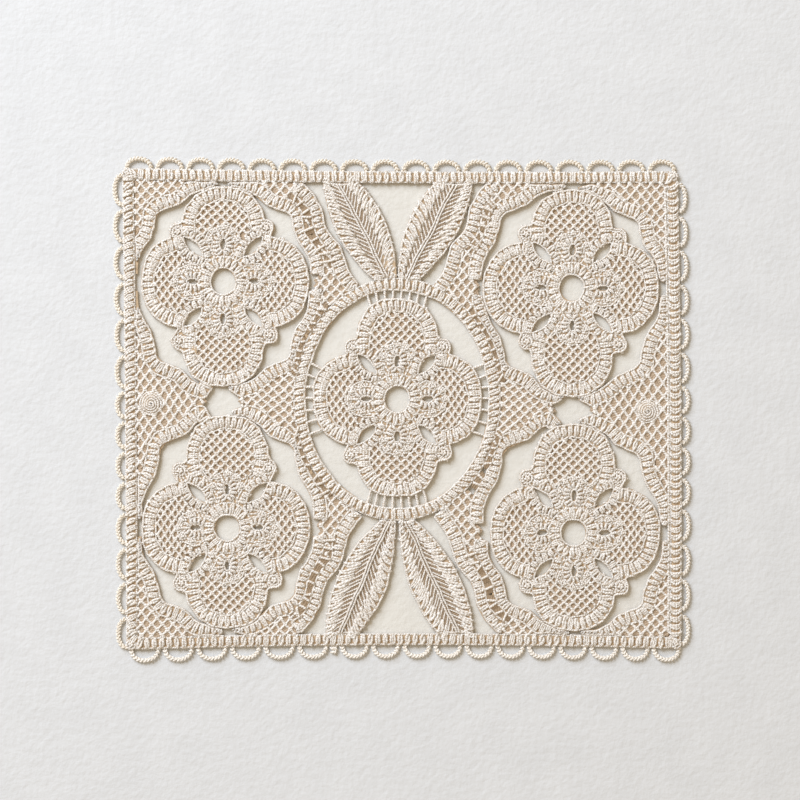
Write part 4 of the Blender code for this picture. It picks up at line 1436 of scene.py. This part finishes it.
def make_net(guide, node):
    """One piece of net ground, with an edge cord where it meets the band or the ring."""
    outline = node_loops(node)[:1]
    cell = NET_CELLS[node[:node.index("_", 4)]]
    box = box_of(outline[0])
    lattice(guide, box, cell, lambda point: inside(point, outline), NET_TUCK,
            NET_STRAND, NET_SHADE_FILM, NET_MID)
    if node.startswith(("net_side", "net_inner")):
        at_right = ("left" in node) == ("side" in node)
        x = box[at_right][0] + (-1.0 if at_right else 1.0)
        guide.rope([(x, y) for y in steps_between(box[0][1], box[1][1], 1.0)], 1.0,
                   where=lambda point: inside(point, outline))


def make_leaf(guide, shade, corner):
    """Rib, threads and fingers of one leaf, and the slits of painted shadow between the threads."""
    count = LEAF_STEPS
    spine = leaf_spine(corner, count)
    halves = leaf_halves(count)
    (ax, ay), (bx, by), _ = LEAVES[corner]
    ux, uy = unit(bx - ax, by - ay)
    long = math.dist((ax, ay), (bx, by))
    outline = node_loops("leaf_" + corner)[:1]

    def within(point):
        return inside(point, outline)

    def thread(place, way, first, last):
        """Straight path from the rib outward, between two shares of the leaf's half width."""
        start = spine[round(place / long * count)]
        half = halves[round(place / long * count)]
        turn = math.radians(THREAD_LEAN)
        c, s = math.cos(turn), math.sin(turn)
        run = half / s
        return [(start[0] + (ux * c - way * uy * s) * run * t,
                 start[1] + (uy * c + way * ux * s) * run * t)
                for t in steps_between(first, last, 0.06)]

    place, reach = FINGER_PLACE
    for way in (-1, 1):
        guide.strand(shifted(spine, way * 0.9), 0.78, level=2.6, where=within)
        guide.row(shifted(spine, [way * half * place for half in halves]),
                  [max(1.2, half * reach / math.cos(math.radians(FINGER_LEAN)))
                   for half in halves],
                  FINGER_PITCH, 1.16, slant=math.radians(-way * FINGER_LEAN), bow=1.5,
                  where=within)
        for k in range(int(long / THREAD_PITCH)):
            root = THREAD_PITCH * k
            guide.strand(thread(root, way, 0.06, THREAD_REACH), 0.66, level=2.1, where=within)
            # Slit: a dark flat film of painted shadow between two threads near the rib.
            shadow_slit = thread(root + THREAD_PITCH / 2.0, way, 0.1, THREAD_REACH - 0.02)
            shade_films = [SHADOW_SLIT_HALF * math.sin(math.pi * (i + 0.5) / len(shadow_slit)) + 0.1
                    for i in range(len(shadow_slit))]
            shade.strand(shadow_slit, 0.05, shade_film=shade_films, level=2.07 + SHADE_FILM_DROP, where=within)
    guide.rim(shifted(spaced(outline[0], 1.0), 0.7, True), level=2.0, closed=True)


def lane_sides(stretch, lanes):
    """How far the row keeps back from its neighbours at each point, on both sides."""
    sides = []
    for way in (-1, 1):
        backs = []
        for x, y, nx, ny, reach in stretch:
            edge = (x + way * nx * reach, y + way * ny * reach)
            backs.append(max([back for loop, back in lanes
                              if min(math.dist(edge, point) for point in loop) < LANE_NEAR] + [0.0]))
        sides.append([sum(backs[max(0, i - 3):i + 4]) / len(backs[max(0, i - 3):i + 4])
                      for i in range(len(backs))])
    return sides


def make_braid(guide, node, path, half, lanes):
    """One wavy braid, narrowed where a lane runs beside it."""
    for stretch in fitted(path, half, node_loops(node)[:1]):
        rows = []
        for (x, y, nx, ny, reach), low, high in zip(stretch, *lane_sides(stretch, lanes)):
            move = (low - high) / 2.0
            rows.append((x + nx * move, y + ny * move, nx, ny,
                         max(1.6, reach - (low + high) / 2.0)))
        guide.row([place[:2] for place in rows], [max(0.8, place[4] - 0.85) for place in rows],
                  *BRAID_STITCH)
        for way in (-1, 1):
            guide.rim([(x + way * nx * (reach - 0.6), y + way * ny * (reach - 0.6))
                       for x, y, nx, ny, reach in rows], 0.84, level=EDGE_LEVEL + 0.25)


def bars_along(guide, path, half, back, others, other_half, other_back):
    """Row of small bars from the edge of one tape to the tape beside it, each with a wide film of
    painted shadow across the lane.
    """
    walked = BAR_PITCH / 2.0
    lean = 1
    for point in path:
        walked += 1.0
        near = min(others, key=lambda other: math.dist(point, other))
        far = math.dist(point, near)
        if walked > BAR_PITCH and far - half - other_half < BAR_GAP:
            dx, dy = unit(near[0] - point[0], near[1] - point[1])
            low = half - back - 0.5
            high = max(half, far - other_half) + other_back + 0.5
            guide.strand([(point[0] + dx * t - dy * lean * BAR_SLANT * (t - low) / (high - low),
                           point[1] + dy * t + dx * lean * BAR_SLANT * (t - low) / (high - low))
                          for t in steps_between(low, high, 0.8)],
                         BAR_CORD, shade_film=BAR_SHADE_FILM, level=BAR_LEVEL)
            walked = 0.0
            lean = -lean


def make_bars(guide):
    """Bars in the lanes between ring, flower braids and leaf braids."""
    ring = [(MIDDLE[0] + ring_reach(turn, 0.0) * math.cos(turn),
             MIDDLE[1] + ring_reach(turn, 0.0) * math.sin(turn))
            for turn in (math.tau * i / 480 for i in range(480))]
    for corner in LEAVES:
        braids = [braid_path(corner, place, 1.0) for place in range(4)]
        beside = [point for path in braids for point in path]
        bars_along(guide, leaf_braid_path(corner, 1.0), LEAF_BRAID_HALF, LANE_BRAID,
                   beside, BRAID_HALF, LANE_BRAID)
        run = [point for point in ring
               if (point[0] < MIDDLE[0]) == ("left" in corner)
               and (point[1] > MIDDLE[1]) == ("top" in corner)]
        bars_along(guide, run, RING_HALF, 0.0, beside, BRAID_HALF, LANE_RING)


def make_dot(guide, side):
    """Cord wound in a spiral that rises to its middle."""
    x, y, radius = DOTS[side]
    path = []
    levels = []
    for i in range(DOT_STEPS + 1):
        share = i / DOT_STEPS
        r = (radius - 0.9) * (1.0 - share) + 0.4
        angle = math.tau * DOT_TURNS * share
        path.append((x + r * math.cos(angle), y + r * math.sin(angle)))
        levels.append(1.5 + 1.6 * math.sin(share * math.pi / 2))
    guide.strand(path, DOT_CORD, level=levels)


# --------------------------------------------------------------- properties
def length(name, description, default, low, high):
    """Setting that is a distance."""
    return FloatProperty(name=name, description=description, default=default, min=low,
                         max=high, subtype="DISTANCE", unit="LENGTH")


def colour(name, description, default):
    """Setting that is a colour."""
    return FloatVectorProperty(name=name, description=description, default=default, size=3,
                               min=0.0, max=1.0, subtype="COLOR")


class LaceWork(bpy.types.PropertyGroup):
    """Sizes of the cotton work."""

    lean: FloatProperty(
        name="Stitch Lean", description="How unevenly the stitches stand",
        default=0.12, min=0.0, max=1.0, subtype="ANGLE")
    unevenness: FloatProperty(
        name="Stitch Unevenness", description="How unevenly long and wide the stitches are",
        default=0.12, min=0.0, max=0.5, subtype="FACTOR")
    strand_step: length(
        "Strand Step", "Distance between the sections of a net strand", 0.0011, 0.0003, 0.01)
    wobble: length(
        "Wobble", "How far strands wander from one crossing to the next", 0.00025, 0.0, 0.005)
    drift: length("Drift", "How far whole net cells are pulled about", 0.0006, 0.0, 0.005)
    seed: IntProperty(
        name="Seed", description="Start of the random draws", default=11, min=0)


class LaceColours(bpy.types.PropertyGroup):
    """Colours of cotton and floor."""

    light: colour("Light", "Colour of the raised threads", (0.98, 0.968, 0.945))
    # Painted shade of the flanks, creases and close base, where shade falls between the threads.
    deep: colour("Deep", "Colour between the threads", (0.535, 0.4, 0.262))
    # Painted shade of the films that fill the nets' holes and of the plate under the nets.
    shade_film: colour("Shade Film", "Colour of the film along the net strands", (0.55, 0.425, 0.305))
    # Painted shadow of the slits beside a leaf's rib and in the lanes.
    shadow_slit: colour("Shadow Slit", "Colour of the slits beside a leaf's rib and in the lanes",
                 (0.34, 0.245, 0.155))
    floor: colour("Floor", "Colour of the surface that the mat lies on", (0.7, 0.716, 0.735))


class LaceStage(bpy.types.PropertyGroup):
    """Camera and light."""

    view_width: length("View Width", "Width of surface that the camera sees", 0.5546, 0.1, 3.0)
    lens: FloatProperty(
        name="Lens", description="Focal length of the camera, in millimetres",
        default=100.0, min=20.0, max=300.0)
    key_power: FloatProperty(
        name="Key Light", description="Power of the lamp at the upper left",
        default=204.0, min=0.0, max=5000.0, unit="POWER")
    key_size: length("Key Size", "Width of the lamp at the upper left", 2.7, 0.05, 10.0)
    sky_strength: FloatProperty(
        name="Fill Light", description="Strength of the light from all round",
        default=0.55, min=0.0, max=5.0)


class LACE_OT_band(bpy.types.Operator):
    """Works the straight border band"""

    bl_idname = "lace.band"
    bl_label = "Border Band"

    def execute(self, context):
        guide = Guide()
        make_band(guide)
        weave("band_work", guide, tape_cotton(), ["border_band"])
        return {"FINISHED"}


class LACE_OT_edging(bpy.types.Operator):
    """Works the rows of loops outside the band"""

    bl_idname = "lace.edging"
    bl_label = "Looped Edging"

    def execute(self, context):
        # Lit and shaded copies of one loop cotton: the top and left loops painted a darker tan as if
        # in shade, the right and bottom loops painted paler as if lit; all have painted shade at
        # their flanks.
        looks = (("upper", ("top", "left"), (0.94, 0.88, 0.78)),
                 ("lower", ("right", "bottom"), (0.98, 0.95, 0.9)))
        for name, sides, light in looks:
            guide = Guide()
            for side in sides:
                make_edging(guide, side)
            material = cotton(name + "_loop_cotton", 0.0, 0.5, 0.3, deep=(0.66, 0.52, 0.36),
                              light=light)
            weave(name + "_edging_work", guide, material,
                  ["edging_" + side for side in sides])
        return {"FINISHED"}


class LACE_OT_ring(bpy.types.Operator):
    """Works the oval ring and the ladders inside it"""

    bl_idname = "lace.ring"
    bl_label = "Ring and Ladders"

    def execute(self, context):
        guide = Guide()
        make_ring(guide)
        weave("ring_work", guide, tape_cotton(), ["ring_middle"])
        guide = Guide()
        for side in LADDERS:
            make_ladder(guide, side)
        weave("ladder_work", guide, cotton("ladder_cotton"),
              ["ladder_" + side for side in LADDERS])
        return {"FINISHED"}


class LACE_OT_flowers(bpy.types.Operator):
    """Works the five flowers"""

    bl_idname = "lace.flowers"
    bl_label = "Flowers"

    def execute(self, context):
        for name in FLOWERS:
            guide = Guide()
            make_flower(guide, name)
            weave("flower_work_" + name, guide, tape_cotton(), ["flower_" + name])
        return {"FINISHED"}


class LACE_OT_leaves(bpy.types.Operator):
    """Works the four ribbed leaves, with slits of painted shadow beside their ribs"""

    bl_idname = "lace.leaves"
    bl_label = "Leaves"

    def execute(self, context):
        guide = Guide()
        shade = Guide()
        for corner in LEAVES:
            make_leaf(guide, shade, corner)
        guide.join(shade)
        weave("leaf_work", guide, cotton("leaf_cotton"),
              ["leaf_" + corner for corner in LEAVES], slit_shadow_cotton())
        return {"FINISHED"}


class LACE_OT_braids(bpy.types.Operator):
    """Works the wavy braids"""

    bl_idname = "lace.braids"
    bl_label = "Wavy Braids"

    def execute(self, context):
        guide = Guide()
        nodes = []
        ring = spaced(node_loops("ring_middle")[0], 1.0)
        for flower in BRAID_DRAW:
            leaf_braid = spaced(node_loops("leaf_braid_" + flower)[0], 1.0)
            for place, (tag, _, _) in enumerate(TURNS):
                nodes.append("braid_" + flower + "_" + tag)
                make_braid(guide, nodes[-1], braid_path(flower, place, 1.0), BRAID_HALF,
                           [(ring, LANE_RING), (leaf_braid, LANE_BRAID)])
        weave("braid_work", guide, tape_cotton(), nodes)
        guide = Guide()
        for corner in LEAVES:
            lanes = [(spaced(node_loops("braid_" + corner + "_" + tag)[0], 1.0), LANE_BRAID)
                     for tag, _, _ in TURNS]
            make_braid(guide, "leaf_braid_" + corner, leaf_braid_path(corner, 1.0),
                       LEAF_BRAID_HALF, lanes)
        make_bars(guide)
        # The bars' films take the dark material of painted shadow.
        weave("leaf_braid_work", guide, tape_cotton(),
              ["leaf_braid_" + corner for corner in LEAVES], slit_shadow_cotton())
        return {"FINISHED"}


class LACE_OT_nets(bpy.types.Operator):
    """Works the net that fills the rest"""

    bl_idname = "lace.nets"
    bl_label = "Net Ground"

    def execute(self, context):
        guide = Guide()
        nodes = sorted(node for node in frame["nodes"] if node.startswith("net_"))
        for node in nodes:
            make_net(guide, node)
        weave("net_work", guide, cotton("net_cotton", 0.05, 0.5, 0.35), nodes)
        return {"FINISHED"}


class LACE_OT_dots(bpy.types.Operator):
    """Winds the two dots"""

    bl_idname = "lace.dots"
    bl_label = "Wound Dots"

    def execute(self, context):
        guide = Guide()
        for side in DOTS:
            make_dot(guide, side)
        weave("dot_work", guide, cotton("dot_cotton", 0.15, 0.8),
              ["dot_" + side for side in DOTS])
        return {"FINISHED"}


class LACE_OT_ground(bpy.types.Operator):
    bl_idname = "lace.ground"
    bl_label = "Close Base"

    def execute(self, context):
        work = [body for body in bpy.data.objects if "_work" in body.name]
        body = make_ground()
        return {"FINISHED"}


def warm_bounce(tree, place):
    """Mask of painted warm bounce light on the floor: one under the mat, falling to nothing past its
    edges.
    """
    low, high = CAD_BOX
    parts = axes(tree, place)
    depths = []
    for axis in (0, 1):
        depths.append(sums(tree, "SUBTRACT", parts[axis], low[axis]))
        depths.append(sums(tree, "SUBTRACT", high[axis], parts[axis]))
    least = depths[0]
    for depth in depths[1:]:
        least = sums(tree, "MINIMUM", least, depth)
    return eased(tree, least, 0.0, 2.0 * BOUNCE_SOFT)


class LACE_OT_stage(bpy.types.Operator):
    """Sets the pale surface, the soft light and the camera above the mat"""

    bl_idname = "lace.stage"
    bl_label = "Floor, Light and Camera"

    def execute(self, context):
        scene = context.scene
        values = scene.lace_stage
        mesh = bpy.data.meshes.new("floor")
        corners = [(x * FLOOR_HALF, y * FLOOR_HALF, -0.0002) for x, y in
                   ((-1, -1), (1, -1), (1, 1), (-1, 1))]
        mesh.from_pydata(corners, [], [(0, 1, 2, 3)])
        floor = placed("floor", mesh)
        material, tree, shader = new_material("plain_floor")
        shader.inputs["Roughness"].default_value = 0.9
        place = object_place(tree)
        relief(tree, shader, noise(tree, place, 220.0, 3.0), 0.45, 0.001)
        # Painted bounce light: the floor under the mat is tinted warm.
        tint = blend(tree, warm_bounce(tree, place), (*scene.lace_colours.floor, 1.0),
                     (*BOUNCE, 1.0))
        shade = sums(tree, "MULTIPLY_ADD", noise(tree, place, 40.0, 5.0), 0.12, 0.94)
        tree.links.new(scaled(tree, tint, shade), shader.inputs["Base Color"])
        mesh.materials.append(material)

        lamp = bpy.data.lights.new("key_light", "AREA")
        lamp.shape = "DISK"
        lamp.size = values.key_size
        lamp.energy = values.key_power
        lamp.color = KEY_TINT
        key = placed("key_light", lamp)
        away = Vector(KEY_FROM).normalized()
        key.location = away * KEY_DISTANCE
        key.rotation_euler = away.to_track_quat("Z", "Y").to_euler()

        world = bpy.data.worlds.new("fill")
        world.use_nodes = True
        sky = world.node_tree.nodes["Background"]
        sky.inputs["Color"].default_value = (*FILL_TINT, 1.0)
        sky.inputs["Strength"].default_value = values.sky_strength
        scene.world = world
        scene.view_settings.view_transform = "Standard"

        camera = bpy.data.cameras.new("camera")
        camera.lens = values.lens
        camera.sensor_width = SENSOR_WIDTH
        camera.clip_end = 20.0
        eye = placed("camera", camera)
        eye.location = (*VIEW_CENTRE, values.view_width * values.lens / SENSOR_WIDTH)
        scene.camera = eye
        return {"FINISHED"}


class LACE_PT_panel(bpy.types.Panel):
    """Buttons of the lace mat"""

    bl_idname = "LACE_PT_panel"
    bl_label = "Lace Mat"
    bl_space_type = "VIEW_3D"
    bl_region_type = "UI"
    bl_category = "Lace Mat"

    def draw(self, context):
        layout = self.layout
        scene = context.scene
        for group, names in (("lace_work", LaceWork), ("lace_colours", LaceColours),
                             ("lace_stage", LaceStage)):
            box = layout.box()
            for name in names.__annotations__:
                box.prop(getattr(scene, group), name)
        for step in STEPS:
            layout.operator(step.bl_idname)


STEPS = (
    LACE_OT_stage,
    LACE_OT_band,
    LACE_OT_edging,
    LACE_OT_ring,
    LACE_OT_flowers,
    LACE_OT_leaves,
    LACE_OT_braids,
    LACE_OT_nets,
    LACE_OT_dots,
    LACE_OT_ground,
)
CLASSES = (LaceWork, LaceColours, LaceStage, *STEPS, LACE_PT_panel)


def register():
    for item in CLASSES:
        bpy.utils.register_class(item)
    bpy.types.Scene.lace_work = PointerProperty(type=LaceWork)
    bpy.types.Scene.lace_colours = PointerProperty(type=LaceColours)
    bpy.types.Scene.lace_stage = PointerProperty(type=LaceStage)


def unregister():
    del bpy.types.Scene.lace_stage
    del bpy.types.Scene.lace_colours
    del bpy.types.Scene.lace_work
    for item in reversed(CLASSES):
        bpy.utils.unregister_class(item)


def main():
    """Builds everything in order."""
    register()
    for step in STEPS:
        group, name = step.bl_idname.split(".")
        getattr(getattr(bpy.ops, group), name)()


if __name__ == "__main__":
    main()
